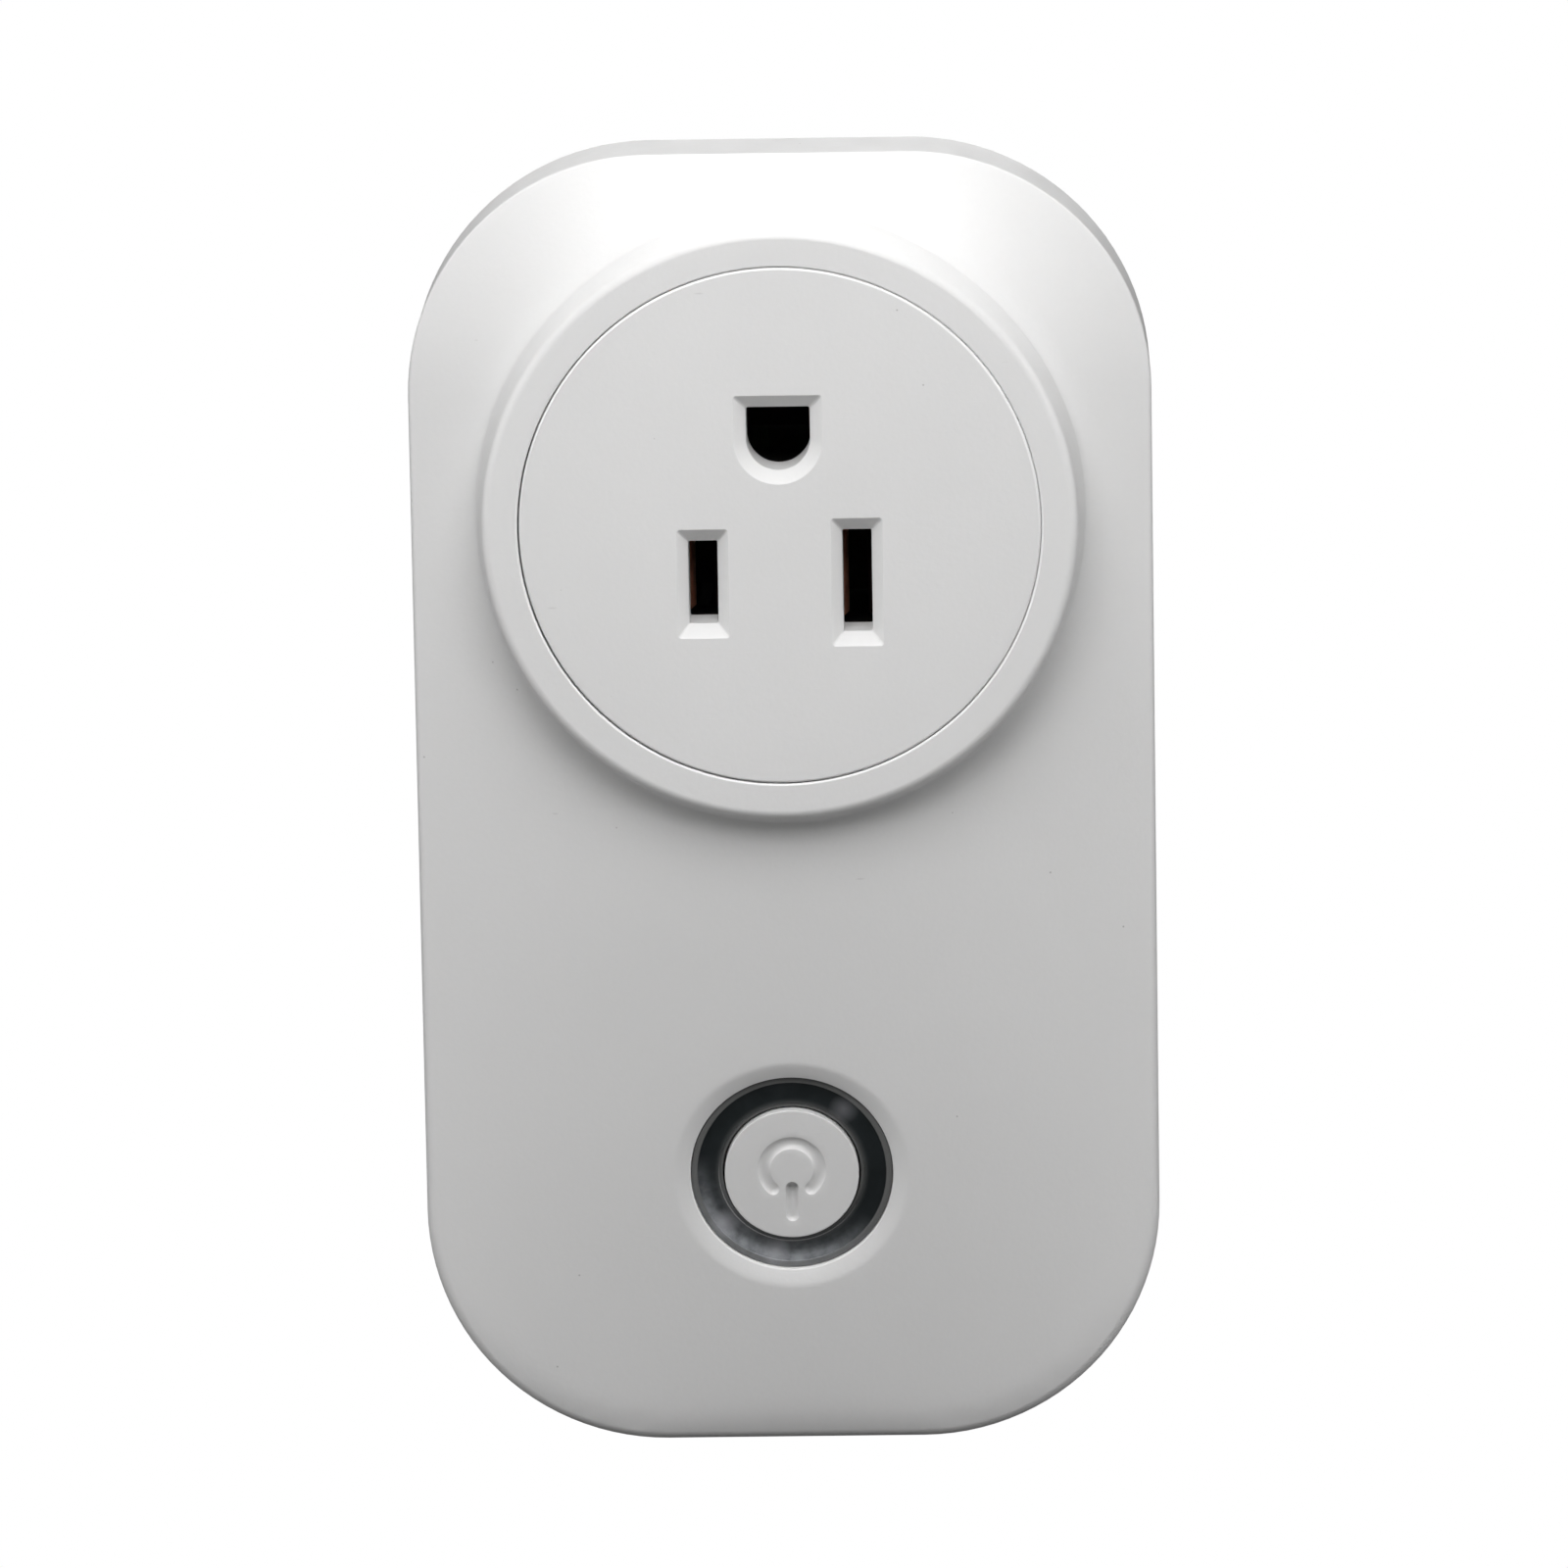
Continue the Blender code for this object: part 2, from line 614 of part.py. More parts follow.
def build_power_board():
    board = finish("power_board", prism(power_board_outline(), (POWER_BOARD_BACK, POWER_BOARD_FRONT)), board_green())
    through = (POWER_BOARD_BACK + 1, POWER_BOARD_FRONT - 1)
    for side in (-1, 1):
        cut(board, f"tail_slot_{side}", box(span(side * BLADE_X, 1.4), through, span(0, 3.6)))
        leg_hole = turned([(2.2, through[0]), (2.2, through[1])], (side * LEG_X, LEG_Z), 12)
        cut(board, f"leg_hole_{side}", leg_hole)
    cut(board, "pin_tail_hole", turned([(1.3, through[0]), (1.3, through[1])], (0.0, GROUND_Z), 12))
    for end, z in enumerate(BOARD_SCREW_Z):
        cut(board, f"board_screw_hole_{end}", turned([(1.4, through[0]), (1.4, through[1])], (0.0, z), 12))
        screw(f"board_screw_{('upper', 'lower')[end]}", POWER_BOARD_FRONT - GAP - 1.1, -2.6, (0.0, z), 2.3, 1.0)


def build_control_board(button):
    chamfer = 2.0
    x, low, high = 17.0, -13.5, 12.5
    points = [(-x + chamfer, low), (x - chamfer, low), (x, low + chamfer), (x, high - chamfer),
              (x - chamfer, high), (-x + chamfer, high), (-x, high - chamfer), (-x, low + chamfer)]
    board = finish("control_board", prism(points, (CONTROL_BOARD_FRONT, CONTROL_BOARD_BACK)), board_green(), button)
    for side, side_name in ((-1, "left"), (1, "right")):
        centre = (side * 13.5, 0.0)
        hole = turned([(1.1, CONTROL_BOARD_FRONT - 1), (1.1, CONTROL_BOARD_BACK + 1)], centre, 10)
        cut(board, f"control_hole_{side}", hole, button)
        screw(f"control_screw_{side_name}", CONTROL_BOARD_BACK + GAP + 1.1, 4.6, centre, 1.9, 0.8, button)


def build_pin_header():
    teeth = 4
    pitch = 2.54
    near = PART_BASE
    far = -14.9
    body = (-11.0, -13.5)
    middle_x = 11.0
    middle_z = -60.0
    width = teeth * pitch
    header = finish("pin_header", box(span(middle_x, width), body, span(middle_z, pitch)), black_plastic())
    for i in range(teeth):
        x = middle_x + (i - (teeth - 1) / 2) * pitch
        add(header, f"header_pin_{i}", box(span(x, 0.64), (near, far), span(middle_z, 0.64)))


# ---------------------------------------------------------------- button group

def build_light_ring(button):
    back = 3.4
    profile = [(RING_INNER, RING_DEPTH + 0.1), (RING_INNER + 0.15, RING_DEPTH), (RING_OUTER - 0.15, RING_DEPTH),
               (RING_OUTER, RING_DEPTH + 0.15), (RING_OUTER, 2.75), (9.8, 2.75), (9.8, back), (RING_INNER, back)]
    finish("light_ring", turned(profile, steps=32, closed=True), smoked_plastic(), button)


def build_button_cap(button):
    profile = [(4.9, 0.32), (5.4, 0.42), (CAP_RADIUS, 0.7), (CAP_RADIUS, 3.7), (6.5, 3.7), (6.5, 4.4),
               (1.8, 4.4), (1.8, 4.7)]
    finish("button_cap", turned(profile, steps=32), white_plastic(), button)


def build_tact_switch(button):
    body_front = 5.9
    body_back = CONTROL_BOARD_FRONT - GAP
    plunger_front = 5.0
    body = finish("tact_switch_body", box((-3, 3), (body_front, body_back), (-3, 3)), black_plastic(), button)
    hole_end = body_front + 0.8 + BUTTON_TRAVEL_ROOM
    cut(body, "plunger_hole", turned([(2.0, body_front - 1), (2.0, hole_end)], steps=16), button)
    plunger = turned([(1.4, plunger_front), (1.7, plunger_front + 0.2), (1.7, body_front + 0.75)], steps=16)
    finish("tact_switch_plunger", plunger, material("plunger_acetal", (0.55, 0.10, 0.08), 0.4), button)


def build_leds(button):
    for name, degrees in LED_ANGLES.items():
        angle = math.radians(degrees)
        x = LED_RADIUS * math.cos(angle)
        z = LED_RADIUS * math.sin(angle)
        led = box(span(x, 1.6), (7.3, CONTROL_BOARD_FRONT - GAP), span(z, 1.6))
        finish(name, led, material("led_lens", (0.85, 0.85, 0.75), 0.2), button)


def build_wifi_module(button):
    near = CONTROL_BOARD_BACK + GAP
    finish("wifi_board", box((-10.5, 5.5), (near, near + 0.8), (-11.0, 11.0)),
           material("module_laminate", (0.02, 0.05, 0.16), 0.4), button)
    foot = near + 0.8 + GAP
    shield = finish("wifi_shield", box((-9.0, 4.0), (foot, foot + 2.0), (-9.5, 5.5)),
                    material("tinned_steel", (0.70, 0.70, 0.70), 0.25, 1.0), button)
    cut(shield, "shield_inside", box((-8.7, 3.7), (foot - 1, foot + 1.7), (-9.2, 5.2)), button)


# ---------------------------------------------------------------- relay

def relay_level(height):
    """The Y of a height above the relay's base."""
    return RELAY_FLOOR_Y - height


def build_relay_shell():
    case = finish("relay_case", box(RELAY_X, (RELAY_TOP_Y, PART_BASE - 0.4), RELAY_Z),
                  material("relay_blue", (0.02, 0.10, 0.42), 0.35))
    inner_x = (RELAY_X[0] + RELAY_WALL, RELAY_X[1] - RELAY_WALL)
    inner_z = (RELAY_Z[0] + RELAY_WALL, RELAY_Z[1] - RELAY_WALL)
    cut(case, "relay_inside", box(inner_x, (RELAY_TOP_Y + RELAY_WALL, -6.0), inner_z))
    base_x = (inner_x[0] + GAP, inner_x[1] - GAP)
    base_z = (inner_z[0] + GAP, inner_z[1] - GAP)
    finish("relay_base", box(base_x, (RELAY_FLOOR_Y, PART_BASE), base_z), black_plastic())


def build_relay_magnet():
    outline_xy = [(-20.5, relay_level(0.2)), (-10.2, relay_level(0.2)), (-10.2, relay_level(1.1)),
                  (-19.2, relay_level(1.1)), (-19.2, relay_level(7.3)), (-20.5, relay_level(7.3))]
    finish("relay_yoke", upright_prism(outline_xy, span(RELAY_MID_Z, 8.6)), steel())
    centre = (COIL_X, RELAY_MID_Z)
    core = [(1.45, relay_level(1.3)), (1.45, relay_level(7.05)), (2.9, relay_level(7.05)), (2.9, relay_level(7.65))]
    finish("relay_core", turned(core, centre, 20), steel())
    spool = [(1.7, relay_level(1.35)), (4.2, relay_level(1.35)), (4.2, relay_level(1.95)), (2.3, relay_level(1.95)),
             (2.3, relay_level(6.25)), (4.2, relay_level(6.25)), (4.2, relay_level(6.85)), (1.7, relay_level(6.85))]
    finish("relay_bobbin", turned(spool, centre, 20, closed=True), insulator())
    coil = [(2.45, relay_level(2.1)), (4.0, relay_level(2.1)), (4.0, relay_level(6.1)), (2.45, relay_level(6.1))]
    finish("relay_coil", turned(coil, centre, 20, closed=True), material("enamelled_wire", (0.55, 0.18, 0.05), 0.35, 0.6))


def build_relay_armature():
    """The armature, its leaf and its contact lie level when pulled in, and rest open."""
    hinge = ARMATURE_HINGE
    turn = (0.0, 0.0, -ARMATURE_OPEN)
    plate = box((-20.6, -10.6), (relay_level(7.9), relay_level(8.8)), span(RELAY_MID_Z, 7.6))
    finish("relay_armature", plate, steel(), origin=hinge, turn=turn)
    leaf = [(-20.2, RELAY_MID_Z - 2.8), (-11.0, RELAY_MID_Z - 2.8), (-8.6, RELAY_MID_Z - 1.6),
            (-6.3, RELAY_MID_Z - 1.6), (-6.3, RELAY_MID_Z + 1.6), (-8.6, RELAY_MID_Z + 1.6),
            (-11.0, RELAY_MID_Z + 2.8), (-20.2, RELAY_MID_Z + 2.8)]
    finish("relay_contact_spring", prism(leaf, (relay_level(8.95), relay_level(9.15))), bronze(),
           origin=hinge, turn=turn)
    silver = material("silver_alloy", (0.80, 0.79, 0.76), 0.25, 1.0)
    rivet = turned([(0.9, relay_level(8.2)), (1.1, relay_level(8.35)), (1.1, relay_level(8.85))],
                   (-7.5, RELAY_MID_Z), 14)
    finish("relay_moving_contact", rivet, silver, origin=hinge, turn=turn)


def build_relay_terminal():
    x_span = span(-7.5, 1.0)
    blade = [(x_span[0], relay_level(0.2)), (x_span[1], relay_level(0.2)), (x_span[1], relay_level(6.6)),
             (-6.2, relay_level(6.6)), (-6.2, relay_level(7.2)), (-8.8, relay_level(7.2)),
             (-8.8, relay_level(6.6)), (x_span[0], relay_level(6.6))]
    finish("relay_fixed_terminal", upright_prism(blade, span(RELAY_MID_Z, 2.8)), brass())
    pad = turned([(1.1, relay_level(7.35)), (1.1, relay_level(7.9)), (0.9, relay_level(8.1))],
                 (-7.5, RELAY_MID_Z), 14)
    finish("relay_fixed_contact", pad, material("silver_alloy", (0.80, 0.79, 0.76), 0.25, 1.0))


# ---------------------------------------------------------------- power supply

def build_transformer():
    core = finish("transformer_core", box((4.0, 17.0), (-9.5, -20.5), (-32.5, -26.5)),
                  material("ferrite", (0.05, 0.05, 0.055), 0.6))
    for x_span in ((6.0, 8.4), (12.6, 15.0)):
        cut(core, f"core_window_{x_span[0]:.0f}", box(x_span, (-11.5, -18.5), (-34.0, -25.0)))
    winding = finish("transformer_winding", box((6.3, 14.7), (-11.8, -18.2), (-35.5, -23.5)),
                     material("winding_tape", (0.72, 0.55, 0.05), 0.45))
    cut(winding, "winding_inside", box((8.1, 12.9), (-11.0, -19.0), (-32.8, -26.2)))


def build_power_parts():
    can = material("can_sleeve", (0.02, 0.02, 0.03), 0.35)
    for side, side_name in ((-1, "left"), (1, "right")):
        profile = [(3.6, -47.0), (4.0, -47.4), (4.0, -49.2), (3.7, -49.6), (4.0, -50.0), (4.0, -58.6), (3.6, -59.0)]
        finish(f"bulk_capacitor_{side_name}", lying_rod(profile, side * 22.3, -12.6), can)
    finish("x_capacitor", box((19.3, 24.8), (PART_BASE, -18.5), (-36.0, -23.0)),
           material("film_yellow", (0.78, 0.55, 0.03), 0.4))
    disc = [(3.0, -20.6), (3.6, -19.9), (3.6, -18.1), (3.0, -17.4)]
    finish("varistor", lying_rod(disc, -16.0, -12.4), material("varistor_blue", (0.03, 0.16, 0.45), 0.35))
    fuse = [(2.0, -3.0), (2.0, 0.2), (1.7, 0.2), (1.7, 7.8), (2.0, 7.8), (2.0, 11.0)]
    finish("fuse", lying_rod(fuse, -17.0, -10.8), material("fuse_ceramic", (0.80, 0.78, 0.72), 0.4))
    finish("bridge_rectifier", box((-12.0, -5.5), (PART_BASE, -11.0), (-58.5, -53.5)), black_plastic())
    finish("regulator", box((-12.0, -5.5), (PART_BASE, -10.1), (-65.0, -61.5)), black_plastic())
    drum = [(3.5, PART_BASE), (3.5, -9.5), (2.9, -9.5), (2.9, -12.8), (3.5, -12.8), (3.5, -13.8)]
    finish("inductor", turned(drum, (11.0, -46.0), 18), material("inductor_ferrite", (0.07, 0.07, 0.08), 0.55))


def build_load_wire():
    """The insulated lead from the relay's output up to the hot contact's tail."""
    path = ((-6.35, -11.2, 1.0), (-6.5, -11.1, -4.0), (-8.2, -11.0, -11.0), (-9.8, -10.6, -16.5),
            (-10.2, -9.4, -19.6))
    curve = bpy.data.curves.new("load_wire", "CURVE")
    curve.dimensions = "3D"
    curve.bevel_depth = 1.0 * MM
    curve.bevel_resolution = 1
    curve.use_fill_caps = True
    line = curve.splines.new("POLY")
    line.points.add(len(path) - 1)
    for point, place in zip(line.points, path):
        point.co = (*[value * MM for value in place], 1.0)
    wire = bpy.data.objects.new("load_wire", curve)
    bpy.context.scene.collection.objects.link(wire)
    curve.materials.append(material("wire_pvc", (0.03, 0.03, 0.03), 0.45))


# ---------------------------------------------------------------- assembly

def button_axis():
    """An empty on the button's axis, at the face, square to the tilted lower face."""
    axis = bpy.data.objects.new("button_axis", None)
    bpy.context.scene.collection.objects.link(axis)
    axis.location = Vector((0.0, PARTING_Y - surface(0.0, BUTTON_Z), BUTTON_Z)) * MM
    axis.rotation_euler = (BUTTON_TILT, 0.0, 0.0)
    return axis


def clear_scene():
    for item in list(bpy.data.objects):
        bpy.data.objects.remove(item, do_unlink=True)


def main():
    clear_scene()
    button = button_axis()
    build_front_cover(button)
    build_rear_cover()
    build_case_screws()
    build_socket_face()
    build_socket_carrier()
    build_contacts()
    build_blade("hot_blade", -1)
    build_blade("neutral_blade", 1)
    build_ground_pin()
    build_blade_holder()
    build_power_board()
    build_control_board(button)
    build_pin_header()
    build_light_ring(button)
    build_button_cap(button)
    build_tact_switch(button)
    build_leds(button)
    build_wifi_module(button)
    build_relay_shell()
    build_relay_magnet()
    build_relay_armature()
    build_relay_terminal()
    build_transformer()
    build_power_parts()
    build_load_wire()


main()
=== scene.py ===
import json
import math

import bmesh
import bpy
import numpy as np
from mathutils import Matrix, Vector
from mathutils.geometry import delaunay_2d_cdt


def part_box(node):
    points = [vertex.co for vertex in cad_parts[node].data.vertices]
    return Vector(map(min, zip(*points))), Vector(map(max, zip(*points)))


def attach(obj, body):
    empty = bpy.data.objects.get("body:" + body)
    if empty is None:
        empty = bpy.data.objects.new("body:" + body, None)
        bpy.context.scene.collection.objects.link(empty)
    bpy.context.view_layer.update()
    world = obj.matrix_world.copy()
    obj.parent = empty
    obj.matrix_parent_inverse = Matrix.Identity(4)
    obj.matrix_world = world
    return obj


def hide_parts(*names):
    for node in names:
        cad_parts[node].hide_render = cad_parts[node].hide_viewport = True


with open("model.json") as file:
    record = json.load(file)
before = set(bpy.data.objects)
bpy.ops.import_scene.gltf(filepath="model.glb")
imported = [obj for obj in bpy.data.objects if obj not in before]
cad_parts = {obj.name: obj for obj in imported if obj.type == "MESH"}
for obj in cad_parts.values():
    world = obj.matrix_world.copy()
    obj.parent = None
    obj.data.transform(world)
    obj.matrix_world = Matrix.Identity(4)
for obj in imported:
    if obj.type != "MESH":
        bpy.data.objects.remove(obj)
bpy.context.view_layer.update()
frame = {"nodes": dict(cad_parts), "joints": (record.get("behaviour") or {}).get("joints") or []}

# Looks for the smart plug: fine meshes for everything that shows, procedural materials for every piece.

MM = 0.001


def box_mm(node):
    low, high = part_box(node)
    return low / MM, high / MM


# ---- sizes, in millimetres; the overall ones are read from the frame

FRONT_LOW, FRONT_HIGH = box_mm("front_cover")
REAR_LOW, REAR_HIGH = box_mm("rear_cover")
FACE_LOW, FACE_HIGH = box_mm("socket_face")
HALF_WIDTH = (FRONT_HIGH.x - FRONT_LOW.x) / 2
HALF_HEIGHT = (FRONT_HIGH.z - FRONT_LOW.z) / 2
BODY_MIDDLE = (FRONT_HIGH.z + FRONT_LOW.z) / 2
BODY_TOP = FRONT_HIGH.z
CORNER_RADIUS = 20.0
LIP_HEIGHT = 1.3
PARTING_Y = REAR_LOW.y + LIP_HEIGHT
WALL = 2.0
REAR_PANEL = 2.2
REAR_INSET = 0.3
REAR_BACK_INSET = 1.95
LIP_OUTER = 1.45
REBATE = 1.15
PARTING_GAP = 0.07
SOFT_RIM = 0.14
EDGE_HEIGHT = 9.0
TOP_EDGE_ROUND = 0.3
BOTTOM_EDGE_ROUND = 1.3

LOWER_LIFT = 0.7
LOWER_SLOPE = 0.105
SHOULDER_SLOPE = 0.42
BLEND_POWER = 4

SOCKET_Z = (FACE_LOW.z + FACE_HIGH.z) / 2
SOCKET = (0.0, SOCKET_Z)
BOSS_Y = FACE_LOW.y
FACE_BACK_Y = FACE_HIGH.y
BOSS_RADIUS = 24.6
BOSS_BASE_RADIUS = 25.2
FOOT_WIDTH = 2.1
FOOT_HEIGHT = 0.8
BOSS_EDGE = 0.8
BORE_EDGE = 0.16
BORE_RADIUS = (FACE_HIGH.x - FACE_LOW.x) / 2 + 0.25
SEAM = 0.075
INSERT_SHIFT = (0.045, 0.035)
COLLAR_RADIUS = 23.8
COLLAR_HEIGHT = 8.5

BLADE_X = 6.35
GROUND_Z = (box_mm("ground_pin")[0].z + box_mm("ground_pin")[1].z) / 2
SLOT_WIDTH = 2.4
HOT_SLOT = 6.9
NEUTRAL_SLOT = 8.5
GROUND_SLOT_WIDTH = 5.25
FUNNEL_DEPTH = 1.05
FUNNEL_SIDE = 0.88
FUNNEL_END = 1.06

PILLAR_X = 20.6
PILLAR_Z = (22.6, -63.3)
PILLAR_RADIUS = 3.0
PILLAR_BORE = 1.5
PILLAR_BORE_END_Y = -13.0
PILLAR_END_Y = -2.6
PILLARS = [(side * PILLAR_X, z) for side in (-1, 1) for z in PILLAR_Z]
BOARD_POSTS = [(side * 13.5, 0.0) for side in (-1, 1)]
BOARD_POST_RADIUS = 1.9
BOARD_POST_BORE = 1.1
FACE_SCREWS = [(side * 14.5, -5.0) for side in (-1, 1)]
FACE_SCREW_RADIUS = 1.3
BOARD_SCREWS = [(0.0, z) for z in (24.5, -67.5)]

BUTTON_Z = -51.5
PRESS_AXIS = Vector(next(joint["axis"] for joint in frame["joints"] if joint["name"] == "button_press"))
WELL_RADIUS = 8.48
WELL_EDGE = 9.85
WELL_BLEND = 0.25
WELL_SLOPE = 0.3
WELL_CURVE = 0.14
RING_INNER = 5.8
RING_OUTER = 8.42
FLOOR_INNER = 6.14
FLOOR_OUTER = 7.88
CAP_RADIUS = 5.62
CAP_TOP = 0.32
CAP_EDGE = 0.09
CAP_CROWN = 0.03
CAP_FACE_RADIUS = CAP_RADIUS - CAP_EDGE
LEDS = ((51, 7.05, 0.3), (218, 7.3, 0.65), (258, 7.25, 0.6))


# ---- mesh kit

def crossings(points, loops):
    """True for each 2D point that lies inside the loops, by the even-odd rule."""
    x, y = points[:, 0], points[:, 1]
    inside = np.zeros(len(points), bool)
    for loop in loops:
        corners = np.asarray(loop, float)
        for (x0, y0), (x1, y1) in zip(corners, np.roll(corners, -1, axis=0)):
            if y0 == y1:
                continue
            spans = (y0 > y) != (y1 > y)
            inside ^= spans & (x < (x1 - x0) * (y - y0) / (y1 - y0) + x0)
    return inside


class Body:
    """Collects patches whose edges coincide, then welds them into one closed mesh. Millimetres."""

    def __init__(self):
        self.points = []
        self.faces = []

    def add(self, points, faces):
        base = len(self.points)
        self.points += [tuple(point) for point in points]
        self.faces += [tuple(base + i for i in face) for face in faces]

    def loft(self, rings, closed=False):
        """Quads between rings of points that have the same count."""
        count = len(rings[0])
        points = [point for ring in rings for point in ring]
        steps = len(rings) if closed else len(rings) - 1
        faces = []
        for level in range(steps):
            low = level * count
            high = (level + 1) % len(rings) * count
            for i in range(count):
                j = (i + 1) % count
                faces.append((low + i, low + j, high + j, high + i))
        self.add(points, faces)

    def cap(self, loops, place, fill=()):
        """Fills the area between flat loops with triangles; place turns each (x, z) into a point."""
        flat = []
        edges = []
        for loop in loops:
            base = len(flat)
            flat += [Vector(point) for point in loop]
            edges += [(base + i, base + (i + 1) % len(loop)) for i in range(len(loop))]
        flat += [Vector(point) for point in fill]
        verts, _, faces, _, _, _ = delaunay_2d_cdt(flat, edges, [], 0, 1e-6)
        corners = np.array([tuple(v) for v in verts])
        middles = np.array([corners[list(face)].mean(axis=0) for face in faces])
        kept = crossings(middles, loops)
        self.add([place(*point) for point in corners], [face for face, keep in zip(faces, kept) if keep])

    def turned(self, profile, centre, steps):
        """A turned form about a Y axis from (radius, y) points, closed flat at its last point."""
        rings = turned_rings(profile, centre, steps)
        self.loft(rings)
        self.cap([flat(rings[-1])], at_level(profile[-1][1]))

    def build(self, name, look, body, replaced, sharp=28):
        data = bmesh.new()
        verts = [data.verts.new(Vector(point) * MM) for point in self.points]
        for face in self.faces:
            data.faces.new([verts[i] for i in face])
        bmesh.ops.remove_doubles(data, verts=data.verts, dist=2e-7)
        bmesh.ops.dissolve_degenerate(data, edges=data.edges, dist=1e-8)
        bmesh.ops.recalc_face_normals(data, faces=data.faces)
        open_edges = sum(1 for edge in data.edges if not edge.is_manifold)
        if open_edges:
            print(f"NOTE {name}: {open_edges} open edges")
        mesh = bpy.data.meshes.new(name)
        data.to_mesh(mesh)
        data.free()
        mesh.shade_smooth()
        mesh.set_sharp_from_angle(angle=math.radians(sharp))
        mesh.materials.append(look)
        piece = bpy.data.objects.new(name, mesh)
        bpy.context.scene.collection.objects.link(piece)
        even = piece.modifiers.new("even_normals", "WEIGHTED_NORMAL")
        even.keep_sharp = True
        even.weight = 70
        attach(piece, body)
        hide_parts(*replaced)


def arc(centre, radius, start, end, steps):
    """Points on an arc from start to end degrees."""
    angles = [math.radians(start + (end - start) * i / steps) for i in range(steps + 1)]
    return [(centre[0] + radius * math.cos(a), centre[1] + radius * math.sin(a)) for a in angles]


def circle(radius, centre=(0.0, 0.0), steps=48):
    return arc(centre, radius, 0, 360, steps)[:-1]


def at_y(loop, y):
    return [(x, y, z) for x, z in loop]


def flat(ring):
    return [(point[0], point[2]) for point in ring]


def at_level(y):
    """A cap's place function that puts every point at one y."""
    return lambda x, z: (x, y, z)


def turned_rings(profile, centre, steps):
    """Rings about a Y axis from (radius, y) points."""
    return [at_y(circle(radius, centre, steps), y) for radius, y in profile]


def rounded_box_loop(half_w, half_h, radius, centre=(0.0, 0.0), steps=5):
    loop = []
    for sx, sz, start in ((1, 1, 0), (-1, 1, 90), (-1, -1, 180), (1, -1, 270)):
        corner = (centre[0] + sx * (half_w - radius), centre[1] + sz * (half_h - radius))
        loop += arc(corner, radius, start, start + 90, steps)
    return loop


def grid(spacing, x_span, z_span):
    """A staggered grid of points."""
    points = []
    rows = int((z_span[1] - z_span[0]) / (spacing * 0.87))
    columns = int((x_span[1] - x_span[0]) / spacing)
    for row in range(rows + 1):
        shift = spacing / 2 * (row % 2)
        for column in range(columns + 1):
            points.append((x_span[0] + shift + column * spacing, z_span[0] + row * spacing * 0.87))
    return points


def distance(point, centre):
    return math.hypot(point[0] - centre[0], point[1] - centre[1])


# ---- body surface

ARC_STEPS = 26
LONG_STEPS = 34
SHORT_STEPS = 12


def outline_frames():
    """Points round the body's edge, each with its inward normal."""
    cx = HALF_WIDTH - CORNER_RADIUS
    cz = HALF_HEIGHT - CORNER_RADIUS
    corners = ((cx, cz, 0), (-cx, cz, 90), (-cx, -cz, 180), (cx, -cz, 270))
    frames = []
    for index, (x, z, start) in enumerate(corners):
        for step in range(ARC_STEPS + 1):
            angle = math.radians(start + 90 * step / ARC_STEPS)
            out = Vector((math.cos(angle), math.sin(angle)))
            frames.append((Vector((x, z)) + out * CORNER_RADIUS, -out))
        next_x, next_z, next_start = corners[(index + 1) % 4]
        out = Vector((math.cos(math.radians(next_start)), math.sin(math.radians(next_start))))
        begin = frames[-1][0]
        end = Vector((next_x, next_z)) + out * CORNER_RADIUS
        steps = SHORT_STEPS if index % 2 == 0 else LONG_STEPS
        frames += [(begin.lerp(end, step / steps), -out) for step in range(1, steps)]
    return [(point + Vector((0.0, BODY_MIDDLE)), inward) for point, inward in frames]


OUTLINE = outline_frames()


def outline(inset):
    return [tuple(point + inward * inset) for point, inward in OUTLINE]


def depth_inside(x, z):
    qx = abs(x) - (HALF_WIDTH - CORNER_RADIUS)
    qz = abs(z - BODY_MIDDLE) - (HALF_HEIGHT - CORNER_RADIUS)
    outside = math.hypot(max(qx, 0.0), max(qz, 0.0)) + min(max(qx, qz), 0.0)
    return CORNER_RADIUS - outside


def surface(x, z):
    """Height of the front face above the parting plane: a tilted lower face that meets the shoulders."""
    low = 0.02
    tilt = LOWER_LIFT + LOWER_SLOPE * (z - BODY_MIDDLE + HALF_HEIGHT)
    dome = max(tilt * (1 - (x / HALF_WIDTH) ** 2), low)
    shoulder = max(SHOULDER_SLOPE * depth_inside(x, z), low)
    return EDGE_HEIGHT + (dome ** -BLEND_POWER + shoulder ** -BLEND_POWER) ** (-1 / BLEND_POWER)


def outer_face(x, z):
    return (x, PARTING_Y - surface(x, z), z)


def inner_face(x, z):
    return (x, PARTING_Y - surface(x, z) + WALL, z)


# The button's own axes: across, along its travel, and up the tilted face
BUTTON_ORIGIN = Vector(outer_face(0.0, BUTTON_Z))
BUTTON_IN = PRESS_AXIS.normalized()
BUTTON_UP = Vector((1.0, 0.0, 0.0)).cross(BUTTON_IN)


def button_point(across, depth, up):
    return BUTTON_ORIGIN + Vector((across, 0.0, 0.0)) + BUTTON_IN * depth + BUTTON_UP * up


def button_rings(profile, steps, centre=(0.0, 0.0)):
    """Rings about the button's axis from (radius, depth) points."""
    return [[tuple(button_point(x, depth, z)) for x, z in circle(radius, centre, steps)]
            for radius, depth in profile]


def on_face(across, up, face):
    """Where a line along the button's axis meets a face of the front cover."""
    depth = 0.0
    for _ in range(5):
        point = button_point(across, depth, up)
        depth += (face(point.x, point.z)[1] - point.y) / BUTTON_IN.y
    return depth, tuple(button_point(across, depth, up))


# ---- front cover

